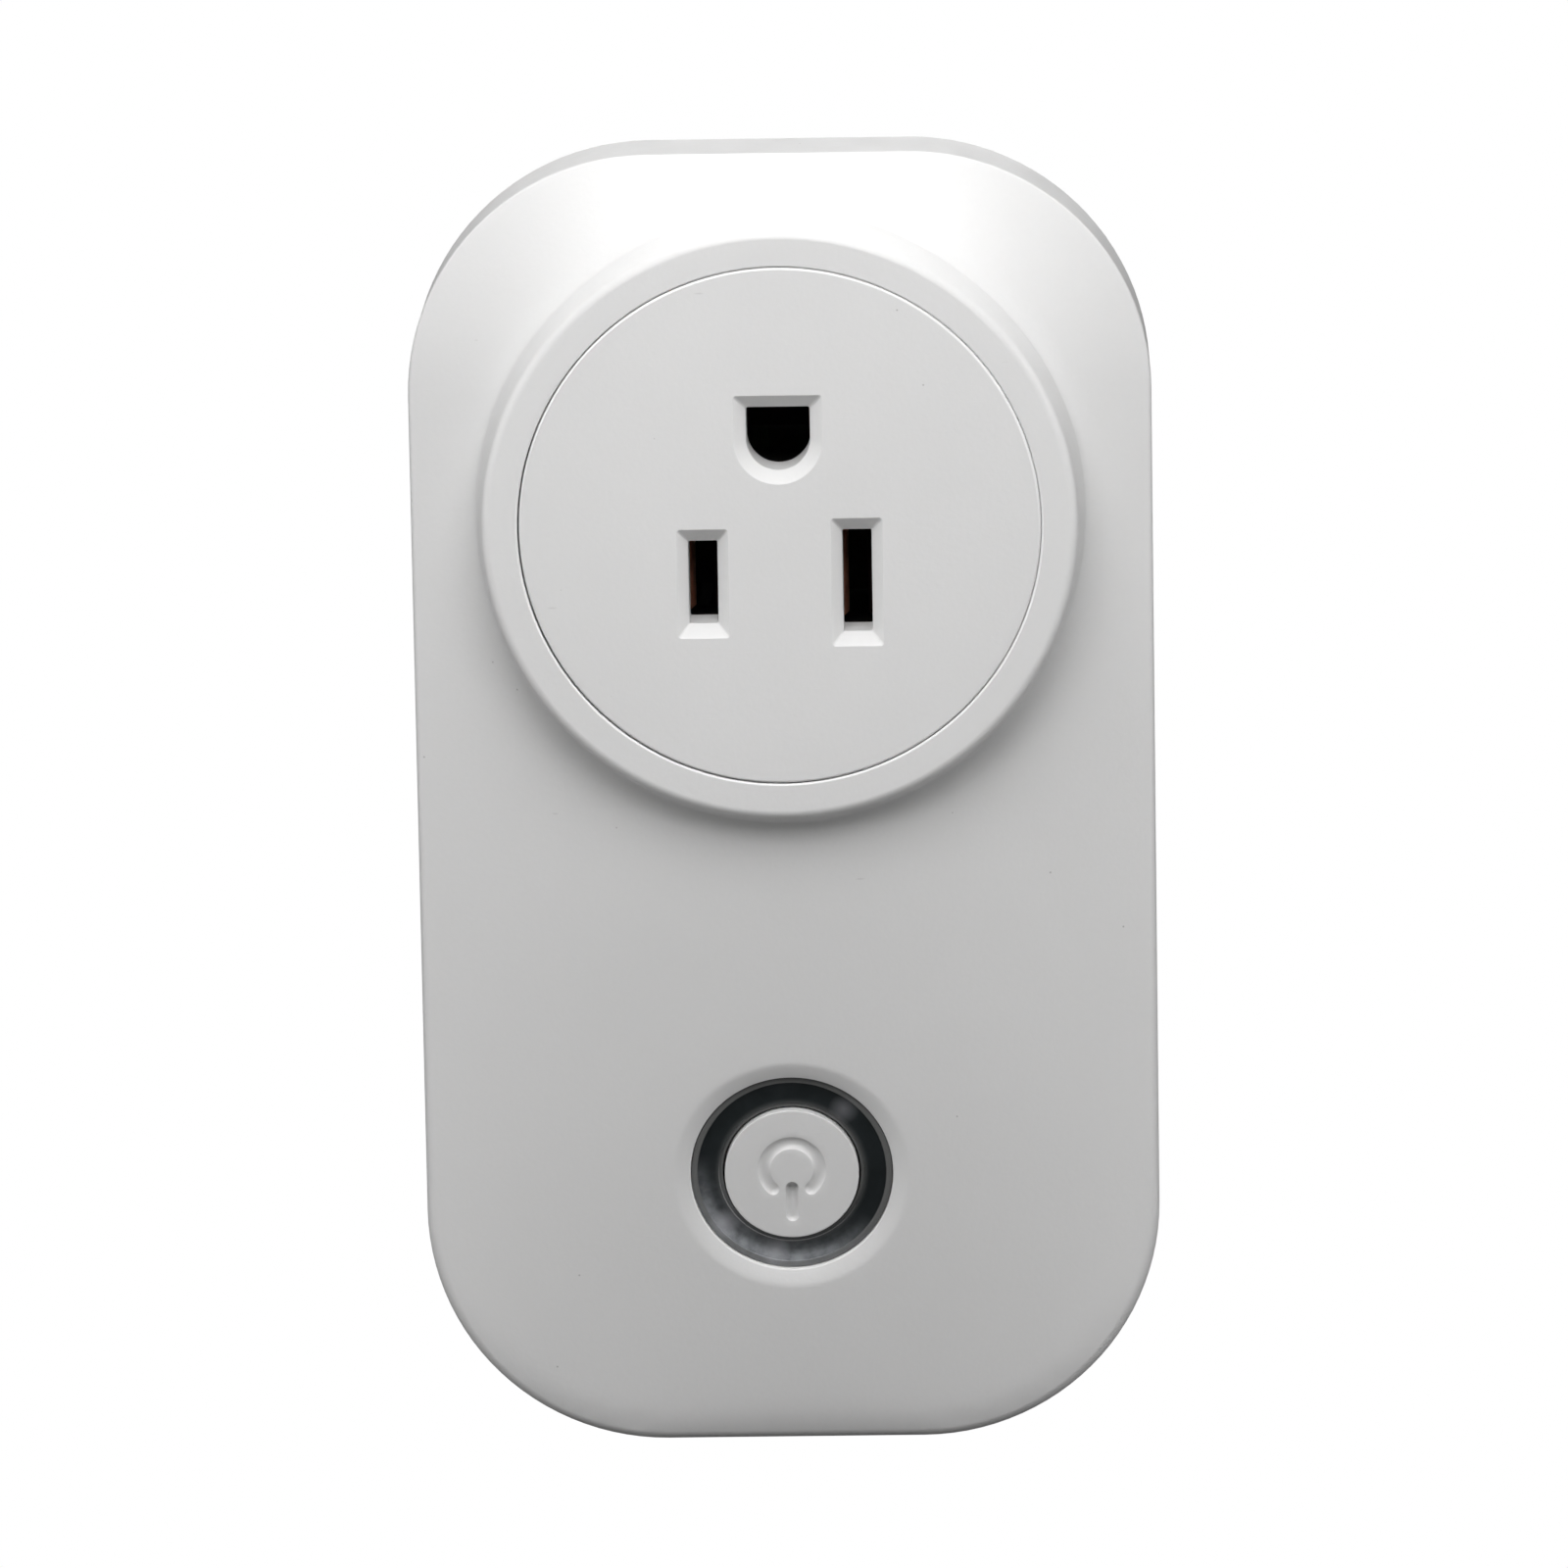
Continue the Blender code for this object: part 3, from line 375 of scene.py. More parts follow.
def edge_rings():
    """Rings from the face's rim round the front edge: tight at the top, wide at the bottom."""
    steps = 7
    rings = [[] for _ in range(steps + 1)]
    for point, inward in OUTLINE:
        low = (BODY_TOP - point.y) / (2 * HALF_HEIGHT)
        size = TOP_EDGE_ROUND + (BOTTOM_EDGE_ROUND - TOP_EDGE_ROUND) * low
        near = point + inward * size * 0.6
        far = point + inward * (size * 0.6 + 0.1)
        slope = math.atan2(surface(*far) - surface(*near), 0.1)
        end = math.pi / 2 - slope
        shelf = point + inward * size * (1 - math.cos(end))
        start_height = surface(*shelf) - size * math.sin(end)
        for step in range(steps + 1):
            turn = end * (1 - step / steps)
            place = point + inward * size * (1 - math.cos(turn))
            rings[step].append((place.x, PARTING_Y - start_height - size * math.sin(turn), place.y))
    return rings


def boss_rings(steps):
    """Rings from the boss's foot on the face, up its drafted wall, over the rim and down the bore."""
    rings = []
    for along, up in arc((1.0, 1.0), 1.0, 270, 180, 9):
        ring = []
        for x, z in circle(BOSS_BASE_RADIUS + FOOT_WIDTH * along, SOCKET, steps):
            cover = PARTING_Y - surface(x, z) - FOOT_HEIGHT * up
            ring.append((x, max(cover, BOSS_Y + BOSS_EDGE), z))
        rings.append(ring)
    profile = arc((BOSS_RADIUS - BOSS_EDGE, BOSS_Y + BOSS_EDGE), BOSS_EDGE, 0, -90, 9)
    profile += arc((BORE_RADIUS + BORE_EDGE, BOSS_Y + BORE_EDGE), BORE_EDGE, 270, 180, 4)
    collar_y = PARTING_Y - COLLAR_HEIGHT
    profile += [(BORE_RADIUS, collar_y), (COLLAR_RADIUS, collar_y)]
    rings += turned_rings(profile, SOCKET, steps)
    rings.append([inner_face(x, z) for x, z in circle(COLLAR_RADIUS, SOCKET, steps)])
    return rings


def well_sink(radius):
    """Depth of the shallow dish round the button, which leaves the face with a soft bend."""
    reach = min(max(WELL_EDGE + WELL_BLEND - radius, 0.0), 2 * WELL_BLEND)
    beyond = max(WELL_EDGE - WELL_BLEND - radius, 0.0)
    return WELL_SLOPE * (reach ** 2 / (4 * WELL_BLEND) + beyond) + WELL_CURVE * beyond ** 2 / 2


def well_rings(steps):
    """Rings from the face down the dish, over its inner edge and down the wall to the inner face."""
    edge = 0.07
    count = 12
    outer = WELL_EDGE + WELL_BLEND
    radii = [outer + (WELL_RADIUS + edge - outer) * i / count for i in range(count + 1)]
    profile = [(radius, well_sink(radius)) for radius in radii]
    base = profile[-1][1]
    profile += [(WELL_RADIUS + edge * 0.3, base + edge * 0.3), (WELL_RADIUS, base + edge)]
    rings = []
    for radius, drop in profile:
        ring = []
        for across, up in circle(radius, steps=steps):
            depth, _ = on_face(across, up, outer_face)
            ring.append(tuple(button_point(across, depth + drop, up)))
        rings.append(ring)
    rings.append([on_face(across, up, inner_face)[1] for across, up in circle(WELL_RADIUS, steps=steps)])
    return rings


def near_loop(point, loop):
    """True inside a round loop, or just outside it."""
    middle = np.mean(loop, axis=0)
    return distance(point, middle) < distance(loop[0], middle) + 1.2


def outer_fill():
    """Points that carry the outer face's crown, clear of its edge, the boss and the well."""
    points = grid(0.95, (-HALF_WIDTH, HALF_WIDTH), (FRONT_LOW.z, BODY_TOP))
    points = [p for p in points if depth_inside(*p) > BOTTOM_EDGE_ROUND + 0.3]
    points = [p for p in points if distance(p, (0.0, BUTTON_Z)) > WELL_EDGE + 0.75]
    return [p for p in points if distance(p, SOCKET) > BOSS_BASE_RADIUS + FOOT_WIDTH + 0.5]


def inner_fill(loops):
    """The same, more coarsely, for the inner face."""
    points = grid(3.0, (-HALF_WIDTH, HALF_WIDTH), (FRONT_LOW.z, BODY_TOP))
    points = [p for p in points if depth_inside(*p) > 3.5]
    return [p for p in points if not any(near_loop(p, loop) for loop in loops)]


def cover_skirt():
    """Rings from the edge down to the parting line, in over the rebate and up to the inner face."""
    rim_y = PARTING_Y - PARTING_GAP
    rebate_y = PARTING_Y - LIP_HEIGHT - 0.3
    profile = ((0.0, rim_y - SOFT_RIM), (SOFT_RIM * 0.3, rim_y - SOFT_RIM * 0.3), (SOFT_RIM, rim_y),
               (REBATE, rim_y), (REBATE, rebate_y), (WALL, rebate_y))
    rings = [at_y(outline(inset), y) for inset, y in profile]
    return rings + [[inner_face(x, z) for x, z in outline(WALL)]]


def pillar(body, centre):
    """A pillar for a case screw; returns its root on the inner face."""
    root = [inner_face(*point) for point in circle(PILLAR_RADIUS, centre, 32)]
    profile = [(PILLAR_RADIUS, PILLAR_END_Y - 0.3), (PILLAR_RADIUS - 0.3, PILLAR_END_Y),
               (PILLAR_BORE, PILLAR_END_Y), (PILLAR_BORE, PILLAR_BORE_END_Y)]
    body.loft([root, at_y(circle(PILLAR_RADIUS, centre, 32), profile[0][1])])
    body.turned(profile, centre, 32)
    return flat(root)


def board_post(body, centre):
    """A post for a control board screw, along the button's axis; returns its root."""
    end = 8.1
    bore_end = 4.2
    root = [on_face(x, z, inner_face)[1] for x, z in circle(BOARD_POST_RADIUS, centre, 24)]
    profile = [(BOARD_POST_RADIUS, end), (BOARD_POST_BORE, end), (BOARD_POST_BORE, bore_end)]
    body.loft([root] + button_rings(profile, 24, centre))
    body.cap([circle(BOARD_POST_BORE, centre, 24)], lambda x, z: tuple(button_point(x, bore_end, z)))
    return flat(root)


def front_cover():
    body = Body()
    edge = edge_rings()
    boss = boss_rings(216)
    well = well_rings(120)
    body.cap([flat(edge[0]), flat(boss[0]), flat(well[0])], outer_face, outer_fill())
    body.loft(boss)
    body.loft(well)
    body.loft(edge + cover_skirt())
    roots = [flat(boss[-1]), flat(well[-1])]
    roots += [pillar(body, centre) for centre in PILLARS]
    roots += [board_post(body, centre) for centre in BOARD_POSTS]
    body.cap([outline(WALL)] + roots, inner_face, inner_fill(roots))
    body.build("front_shell", WHITE, "housing", ["front_cover"], 24)


# ---- rear cover

def blade_hole(side, grow):
    return rounded_box_loop(1.05 + grow, 3.45 + grow, 0.3 + grow, (side * BLADE_X, 0.0), 4)


def rear_wall():
    """Rings from the back face round its edge to the parting line, over the lip and down inside."""
    edge = 0.65
    seam_y = PARTING_Y + PARTING_GAP
    lip_y = PARTING_Y - LIP_HEIGHT
    profile = arc((REAR_BACK_INSET + edge, -edge), edge, 90, 180, 7)
    profile += [(REAR_INSET, seam_y + SOFT_RIM), (REAR_INSET + SOFT_RIM, seam_y), (LIP_OUTER, seam_y),
                (LIP_OUTER, lip_y), (REAR_INSET + WALL, lip_y), (REAR_BACK_INSET + WALL, -REAR_PANEL)]
    return [at_y(outline(inset), y) for inset, y in profile]


def label_panel(body):
    """A plain shallow recess; returns its outline on the back face."""
    recess = 0.25
    steps = ((0.0, 0.0), (0.2, -0.06), (0.3, -recess))
    rings = [at_y(rounded_box_loop(19.0 - inset, 22.0 - inset, 2.0 - inset, (0.0, -35.0), 8), y)
             for inset, y in steps]
    body.loft(rings)
    body.cap([flat(rings[-1])], at_level(-recess))
    return flat(rings[0])


def rear_cover():
    body = Body()
    wall = rear_wall()
    body.loft(wall)
    outside = [flat(wall[0]), label_panel(body)]
    inside = [flat(wall[-1])]
    chamfer = 0.25
    holes = [lambda grow, side=side: blade_hole(side, grow) for side in (-1, 1)]
    holes.append(lambda grow: circle(2.675 + grow, (0.0, GROUND_Z), 40))
    for hole in holes:
        body.loft([at_y(hole(chamfer), 0.0), at_y(hole(0.0), -chamfer), at_y(hole(0.0), -REAR_PANEL)])
        outside.append(hole(chamfer))
        inside.append(hole(0.0))
    mouth, seat, bore = 3.15, 3.0, 1.6
    for centre in PILLARS:
        profile = [(mouth, 0.0), (seat, seat - mouth), (seat, -1.25), (bore, -1.25), (bore, -REAR_PANEL)]
        body.loft(turned_rings(profile, centre, 40))
        outside.append(circle(mouth, centre, 40))
        inside.append(circle(bore, centre, 40))
    for centre in BOARD_SCREWS:
        body.turned([(2.4, -REAR_PANEL), (2.4, -6.3), (1.3, -6.3), (1.3, -1.6)], centre, 28)
        inside.append(circle(2.4, centre, 28))
    body.cap(outside, at_level(0.0))
    body.cap(inside, at_level(-REAR_PANEL))
    body.build("rear_shell", WHITE_REAR, "housing", ["rear_cover"], 30)


# ---- socket insert

def slot_loop(x, height, share):
    """A slot's outline; share 1 is the funnel's mouth and 0 the hole itself."""
    return rounded_box_loop(SLOT_WIDTH / 2 + FUNNEL_SIDE * share, height / 2 + FUNNEL_END * share,
                            0.14 + 0.1 * share, (x, 0.0), 4)


def ground_loop(share):
    """A U-shaped hole, round below and flat above, with softened upper corners."""
    half = GROUND_SLOT_WIDTH / 2 + FUNNEL_END * 0.93 * share
    top = GROUND_Z + GROUND_SLOT_WIDTH / 2 + FUNNEL_END * share
    soft = 0.22
    loop = arc((0.0, GROUND_Z), half, 180, 360, 32)
    for side, start in ((1, 0), (-1, 90)):
        loop += arc((side * (half - soft), top - soft), soft, start, start + 90, 5)
    return loop


def socket_face():
    body = Body()
    radius = BORE_RADIUS - SEAM
    edge = 0.2
    rim = arc((radius - edge, BOSS_Y + edge), edge, 270, 360, 6) + [(radius, FACE_BACK_Y)]
    rings = turned_rings(rim, (INSERT_SHIFT[0], SOCKET_Z + INSERT_SHIFT[1]), 216)
    body.loft(rings)
    front = [flat(rings[0])]
    back = [flat(rings[-1])]
    funnel = ((1.07, 0.0), (1.02, 0.025), (0.97, 0.075), (0.06, FUNNEL_DEPTH - 0.07),
              (0.01, FUNNEL_DEPTH + 0.01), (0.0, FUNNEL_DEPTH + 0.12), (0.0, FACE_BACK_Y - BOSS_Y))
    holes = (lambda share: slot_loop(-BLADE_X, HOT_SLOT, share),
             lambda share: slot_loop(BLADE_X, NEUTRAL_SLOT, share), ground_loop)
    for hole in holes:
        rings = [at_y(hole(share), BOSS_Y + depth) for share, depth in funnel]
        body.loft(rings)
        front.append(flat(rings[0]))
        back.append(flat(rings[-1]))
    for centre in FACE_SCREWS:
        body.turned([(FACE_SCREW_RADIUS, FACE_BACK_Y), (FACE_SCREW_RADIUS, BOSS_Y + 1.0)], centre, 24)
        back.append(circle(FACE_SCREW_RADIUS, centre, 24))
    body.cap(front, at_level(BOSS_Y))
    body.cap(back, at_level(FACE_BACK_Y))
    body.build("socket_insert", WHITE_FACE, "housing", ["socket_face"], 24)


# ---- button and ring

def light_ring():
    """A ring of smoked lens: a flat rim, a slightly hollow floor and a lower land inside."""
    rim = 0.85
    floor = rim + 0.1
    hollow = 0.1
    land = floor + 0.06
    profile = [(RING_OUTER, 2.75), (RING_OUTER, rim + 0.06), (RING_OUTER - 0.02, rim + 0.015),
               (RING_OUTER - 0.06, rim), (FLOOR_OUTER + 0.07, rim), (FLOOR_OUTER + 0.04, rim + 0.015)]
    for i in range(13):
        share = i / 12
        radius = FLOOR_OUTER + (FLOOR_INNER - FLOOR_OUTER) * share
        profile.append((radius, floor + hollow * (1 - (2 * share - 1) ** 2)))
    profile += [(FLOOR_INNER - 0.04, land), (RING_INNER + 0.05, land), (RING_INNER, land + 0.05),
                (RING_INNER, 3.4), (9.8, 3.4), (9.8, 2.75)]
    body = Body()
    body.loft(button_rings(profile, 144), closed=True)
    body.build("glow_ring", SMOKED, "housing", ["light_ring"], 40)


SYMBOL_RADIUS = 2.34
SYMBOL_CENTRE = (0.0, 0.42)
SYMBOL_HALF = 0.54
SYMBOL_GAP = 43
STEM_TOP = SYMBOL_CENTRE[1] - 1.66
STEM_BOTTOM = SYMBOL_CENTRE[1] - 4.05
GROOVE_STEPS = (-0.08, 0.02, 0.1, 0.22, 0.38, 0.56, 0.76, 0.92)


def symbol_arc(grow):
    """Outline of the power symbol's open ring, whose gap faces down."""
    half = SYMBOL_HALF + grow
    start = SYMBOL_GAP - 90
    end = 270 - SYMBOL_GAP
    start_middle, end_middle = arc(SYMBOL_CENTRE, SYMBOL_RADIUS, start, end, 1)
    loop = arc(SYMBOL_CENTRE, SYMBOL_RADIUS + half, start, end, 40)
    loop += arc(end_middle, half, end, end + 180, 10)[1:-1]
    loop += arc(SYMBOL_CENTRE, SYMBOL_RADIUS - half, end, start, 40)
    return loop + arc(start_middle, half, start + 180, start + 360, 10)[1:-1]


def symbol_stem(grow):
    half = SYMBOL_HALF + grow
    return arc((0.0, STEM_TOP), half, 0, 180, 12) + arc((0.0, STEM_BOTTOM), half, 180, 360, 12)


def arc_depth(_):
    return 0.3


def stem_depth(z):
    share = min(max((z - STEM_BOTTOM) / (STEM_TOP - STEM_BOTTOM), 0.0), 1.0)
    return 0.3 + 0.5 * share


def groove_sink(share):
    """Depth of a round-bottomed groove, as a share of its full depth, part of the way to its middle."""
    return 1 - (1 - max(share, 0.0)) ** 2.5


def cap_top(x, z, sink=0.0):
    """A place on the cap's crown, or sunk below it."""
    crown = 1 - (x * x + z * z) / CAP_FACE_RADIUS ** 2
    return tuple(button_point(x, CAP_TOP - CAP_CROWN * crown + sink, z))


def groove(body, shape, depth):
    """Sinks a groove in the cap; returns its outline on the crown."""
    def place(x, z, share):
        return cap_top(x, z, depth(z) * groove_sink(share))

    for pair in zip(GROOVE_STEPS, GROOVE_STEPS[1:]):
        body.loft([[place(x, z, share) for x, z in shape(-SYMBOL_HALF * share)] for share in pair])
    last = GROOVE_STEPS[-1]
    body.cap([shape(-SYMBOL_HALF * last)], lambda x, z: place(x, z, last))
    return shape(-SYMBOL_HALF * GROOVE_STEPS[0])


def button_cap():
    """The cap: a crowned disc with the symbol sunk in it; the stem's groove is deepest at its top."""
    body = Body()
    inner = CAP_FACE_RADIUS - 0.1
    profile = [(inner, CAP_TOP - CAP_CROWN * (1 - (inner / CAP_FACE_RADIUS) ** 2))]
    profile += arc((CAP_FACE_RADIUS, CAP_TOP + CAP_EDGE), CAP_EDGE, 270, 360, 5)
    profile += [(CAP_RADIUS, 3.7), (6.5, 3.7), (6.5, 4.4), (1.8, 4.4), (1.8, 4.7)]
    body.loft(button_rings(profile, 120))
    loops = [circle(inner, steps=120), groove(body, symbol_arc, arc_depth)]
    loops.append(groove(body, symbol_stem, stem_depth))
    fill = [p for p in grid(0.5, (-5.2, 5.2), (-5.2, 5.2)) if math.hypot(*p) < CAP_RADIUS - 0.4]
    symbol = [symbol_arc(0.25), symbol_stem(0.25)]
    clear = [p for p in fill if not crossings(np.array([p]), symbol)[0]]
    body.cap(loops, cap_top, clear)
    body.cap([circle(1.8, steps=120)], lambda x, z: tuple(button_point(x, 4.7, z)))
    body.build("press_cap", WHITE_CAP, "button", ["button_cap"], 30)


# ---- blades, pin and screws

def blade_loop(grow, back, tip):
    """Side view of a blade as (y, z) points: clipped at the tip, with every corner rounded."""
    half = 3.175 + grow
    clip = 1.25
    return soften([(back - grow, -half), (tip - clip, -half), (tip + grow, -half + clip),
                   (tip + grow, half - clip), (tip - clip, half), (back - grow, half)], 0.4)


def soften(loop, radius, steps=4):
    """Rounds the corners of a closed loop."""
    softened = []
    count = len(loop)
    for i, corner in enumerate(loop):
        here = Vector(corner)
        before = (Vector(loop[i - 1]) - here).normalized() * radius
        after = (Vector(loop[(i + 1) % count]) - here).normalized() * radius
        for step in range(steps + 1):
            t = step / steps
            bend = (here + before) * (1 - t) ** 2 + here * 2 * t * (1 - t) + (here + after) * t ** 2
            softened.append(tuple(bend))
    return softened


def at_x(loop, x):
    return [(x, y, z) for y, z in loop]


def blade(name, node, side):
    """A flat blade with rounded edges and a lipped hole."""
    low, high = box_mm(node)
    x = side * BLADE_X
    half = 0.75
    edge = 0.16
    back = -5.25
    tip = high.y - 0.05
    hole_at = (11.9, 0.0)
    lip = ((1.78, 0.0), (1.64, 0.05), (1.58, 0.18))
    body = Body()
    for face in (-1, 1):
        rounding = arc((-edge, half - edge), edge, 90, 0, 3)
        levels = [at_x(blade_loop(grow, back, tip), x + face * out) for grow, out in rounding]
        body.loft(levels)
        body.loft([at_x(circle(r, hole_at, 36), x + face * (half - sink)) for r, sink in lip])
        loops = [blade_loop(rounding[0][0], back, tip), circle(lip[0][0], hole_at, 36)]
        body.cap(loops, lambda y, z: (x + face * half, y, z))
    sides = (edge - half, half - edge)
    body.loft([at_x(blade_loop(0.0, back, tip), x + out) for out in sides])
    radius, sink = lip[-1]
    body.loft([at_x(circle(radius, hole_at, 36), x + out) for out in (sink - half, half - sink)])
    body.build(name, BRASS, "housing", [node], 40)
    blade_flange(name + "_flange", node, x, low.y)


def blade_flange(name, node, x, end_y):
    """The flange and neck that hold a blade inside the rear cover."""
    steps = ((2.3, 4.4, -5.32), (2.4, 4.5, -5.4), (2.4, 4.5, -6.02), (2.3, 4.4, -6.1),
             (0.4, 1.5, -6.1), (0.4, 1.5, end_y))
    rings = [at_y(rounded_box_loop(w, h, 0.25, (x, 0.0), 3), y) for w, h, y in steps]
    body = Body()
    body.loft(rings)
    for ring in (rings[0], rings[-1]):
        body.cap([flat(ring)], at_level(ring[0][1]))
    body.build(name, BRASS, "housing", [node], 40)


def ground_pin():
    low, high = box_mm("ground_pin")
    radius = 4.75 / 2
    dome_height = 2.3
    dome = [(radius * math.cos(math.radians(a)), high.y - dome_height * (1 - math.sin(math.radians(a))))
            for a in range(0, 84, 7)]
    profile = [(1.0, low.y), (1.0, -6.1), (3.5, -6.1), (3.6, -6.0), (3.6, -5.4), (3.5, -5.3), (radius, -5.3)]
    centre = (0.0, GROUND_Z)
    body = Body()
    body.cap([circle(1.0, centre, 56)], at_level(low.y))
    body.turned(profile + dome, centre, 56)
    body.build("earth_pin", BRASS, "housing", ["ground_pin"], 40)


def cross_loop(arm, width):
    """A cross-shaped outline: three corners of each quarter, turned round."""
    loop = []
    x, z = 1, 0
    for _ in range(4):
        for along, across in ((arm, -width), (arm, width), (width, width)):
            loop.append((x * along - z * across, z * along + x * across))
        x, z = -z, x
    return loop


def case_screw(name, node, centre):
    """A pan-headed screw with a cross recess and plain rings for its thread."""
    low, high = box_mm(node)
    head_y = high.y
    radius = (high.x - low.x) / 2
    profile = [(radius * 0.72, head_y), (radius * 0.9, head_y - 0.12), (radius, head_y - 0.4),
               (radius, head_y - 1.1), (1.2, head_y - 1.1)]
    thread_y = head_y - 1.4
    while thread_y > low.y + 1.6:
        profile += [(1.0, thread_y), (1.3, thread_y - 0.3), (1.0, thread_y - 0.6)]
        thread_y -= 0.7
    body = Body()
    body.turned(profile + [(1.0, low.y + 0.9), (0.45, low.y)], centre, 36)
    recess = ((1.45, 0.3, 0.0), (1.3, 0.24, -0.12), (0.8, 0.2, -0.75))
    rings = [[(centre[0] + x, head_y + y, centre[1] + z) for x, z in cross_loop(arm, width)]
             for arm, width, y in recess]
    body.loft(rings)
    body.cap([flat(rings[-1])], at_level(head_y - 0.75))
    body.cap([circle(radius * 0.72, centre, 36), flat(rings[0])], at_level(head_y))
    body.build(name, ZINC, "housing", [node], 35)


def case_screws():
    names = ("upper_left", "lower_left", "upper_right", "lower_right")
    for name, centre in zip(names, PILLARS):
        case_screw("cross_case_screw_" + name, "case_screw_" + name, centre)


# ---- materials

def rgb(r, g, b):
    return (r, g, b, 1.0)


class Look:
    """A node material with short ways to add and join nodes. Texture places are in millimetres."""

    def __init__(self, name):
        self.material = bpy.data.materials.new(name)
        self.material.use_nodes = True
        self.nodes = self.material.node_tree.nodes
        self.shader = self.nodes["Principled BSDF"]
        self.coords = self.node("ShaderNodeTexCoord").outputs["Object"]
        self.place = self.scaled((1000, 1000, 1000))

    def node(self, kind, **settings):
        made = self.nodes.new(kind)
        for key, value in settings.items():
            setattr(made, key, value)
        return made

    def feed(self, socket, value):
        if isinstance(value, bpy.types.NodeSocket):
            self.material.node_tree.links.new(value, socket)
        else:
            socket.default_value = value

    def feed_all(self, node, values):
        for key, value in values.items():
            self.feed(node.inputs[key], value)

    def scaled(self, scale):
        made = self.node("ShaderNodeMapping")
        self.feed_all(made, {"Vector": self.coords, "Scale": scale})
        return made.outputs["Vector"]

    def noise(self, scale, detail=2.0, rough=0.5, place=None):
        made = self.node("ShaderNodeTexNoise")
        self.feed_all(made, {"Vector": place or self.place, "Scale": scale, "Detail": detail,
                             "Roughness": rough})
        return made.outputs["Fac"]

    def math(self, operation, first, second=0.0):
        made = self.node("ShaderNodeMath", operation=operation)
        self.feed_all(made, {0: first, 1: second})
        return made.outputs[0]

    def times(self, first, second):
        return self.math("MULTIPLY", first, second)

    def span(self, value, low, high, out_low=0.0, out_high=1.0):
        """Maps low to high onto out_low to out_high, and holds what lies beyond."""
        made = self.node("ShaderNodeMapRange")
        self.feed_all(made, {"Value": value, "From Min": low, "From Max": high,
                             "To Min": out_low, "To Max": out_high})
        return made.outputs["Result"]

    def near(self, value, middle, half, soft):
        """1 where value is within half of middle, falling to 0 over the soft width."""
        off = self.math("ABSOLUTE", self.math("SUBTRACT", value, middle))
        return self.span(off, half, half + soft, 1.0, 0.0)

    def vector(self, operation, first, second=(0.0, 0.0, 0.0)):
        made = self.node("ShaderNodeVectorMath", operation=operation)
        self.feed_all(made, {0: first, 1: second})
        single = operation in ("LENGTH", "DISTANCE", "DOT_PRODUCT")
        return made.outputs["Value" if single else "Vector"]

    def mix(self, share, first, second):
        """Blends two colours, which are sockets 6 and 7 of the node."""
        made = self.node("ShaderNodeMix", data_type="RGBA")
        self.feed_all(made, {"Factor": share, 6: first, 7: second})
        return made.outputs[2]

    def bump(self, height, distance, under=None):
        made = self.node("ShaderNodeBump")
        self.feed_all(made, {"Height": height, "Distance": distance * MM, "Strength": 1.0})
        if under:
            self.feed(made.inputs["Normal"], under)
        return made.outputs["Normal"]

    def marks(self, place, scale, size, rarity):
        """Small scattered marks: 1 at the middle of some of the cells of a random pattern."""
        cells = self.node("ShaderNodeTexVoronoi")
        self.feed_all(cells, {"Vector": place, "Scale": scale})
        spot = self.span(cells.outputs["Distance"], size * 0.4, size, 1.0, 0.0)
        shade = self.node("ShaderNodeSeparateColor")
        self.feed(shade.inputs[0], cells.outputs["Color"])
        return self.times(spot, self.math("GREATER_THAN", shade.outputs[0], rarity))

    def round_socket(self):
        """Distance from the socket's axis, and height above it."""
        offset = self.vector("SUBTRACT", self.place, (0.0, BOSS_Y, SOCKET_Z))
        radius = self.vector("LENGTH", self.vector("CROSS_PRODUCT", offset, (0.0, 1.0, 0.0)))
        return radius, self.vector("DOT_PRODUCT", offset, (0.0, 0.0, 1.0))

    def round_button(self):
        """Distance from the button's axis, and from its middle towards the lower left."""
        offset = self.vector("SUBTRACT", self.place, tuple(BUTTON_ORIGIN))
        radius = self.vector("LENGTH", self.vector("CROSS_PRODUCT", offset, tuple(BUTTON_IN)))
        lower_left = button_point(math.cos(PAINTED_HAZE_ANGLE), 0.0, math.sin(PAINTED_HAZE_ANGLE)) - BUTTON_ORIGIN
        return radius, self.vector("DOT_PRODUCT", offset, tuple(lower_left))

    def finish(self, colour, roughness, normal, **more):
        """Feeds the shader and returns the material; a name in more has _ for a space."""
        self.feed_all(self.shader, {"Base Color": colour, "Roughness": roughness, "Normal": normal})
        self.feed_all(self.shader, {key.replace("_", " "): value for key, value in more.items()})
        return self.material


# Direction on the button, towards the lower left, along which the lens's painted hazy light and the painted
# highlights on the well's lip and the lens's inner land grow
PAINTED_HAZE_ANGLE = math.radians(-112)
# Colour of the painted highlights on the well's lip, the bore's edge and the insert's rim
PAINTED_EDGE_HIGHLIGHT = rgb(0.97, 0.968, 0.965)
SPECK_BROWN = rgb(0.12, 0.10, 0.09)


def darker(colour, share):
    return rgb(*[part * share for part in colour])


def painted_cover_highlights(look, tint):
    """Painted highlights: the lower sides of the well's edge and of the bore's edge are painted bright,
    where they would catch the light from above.
    """
    radius, downward = look.round_button()
    # painted highlight on the lower side of the well's lip
    lip = look.times(look.near(radius, WELL_RADIUS + 0.04, 0.05, 0.05), look.span(downward, 0.0, 5.0))
    radius, height = look.round_socket()
    # painted highlight on the lower side of the bore's edge
    bore = look.times(look.near(radius, BORE_RADIUS + 0.09, 0.06, 0.06), look.span(height, 6.0, -6.0))
    return look.mix(bore, look.mix(lip, tint, PAINTED_EDGE_HIGHLIGHT), PAINTED_EDGE_HIGHLIGHT)


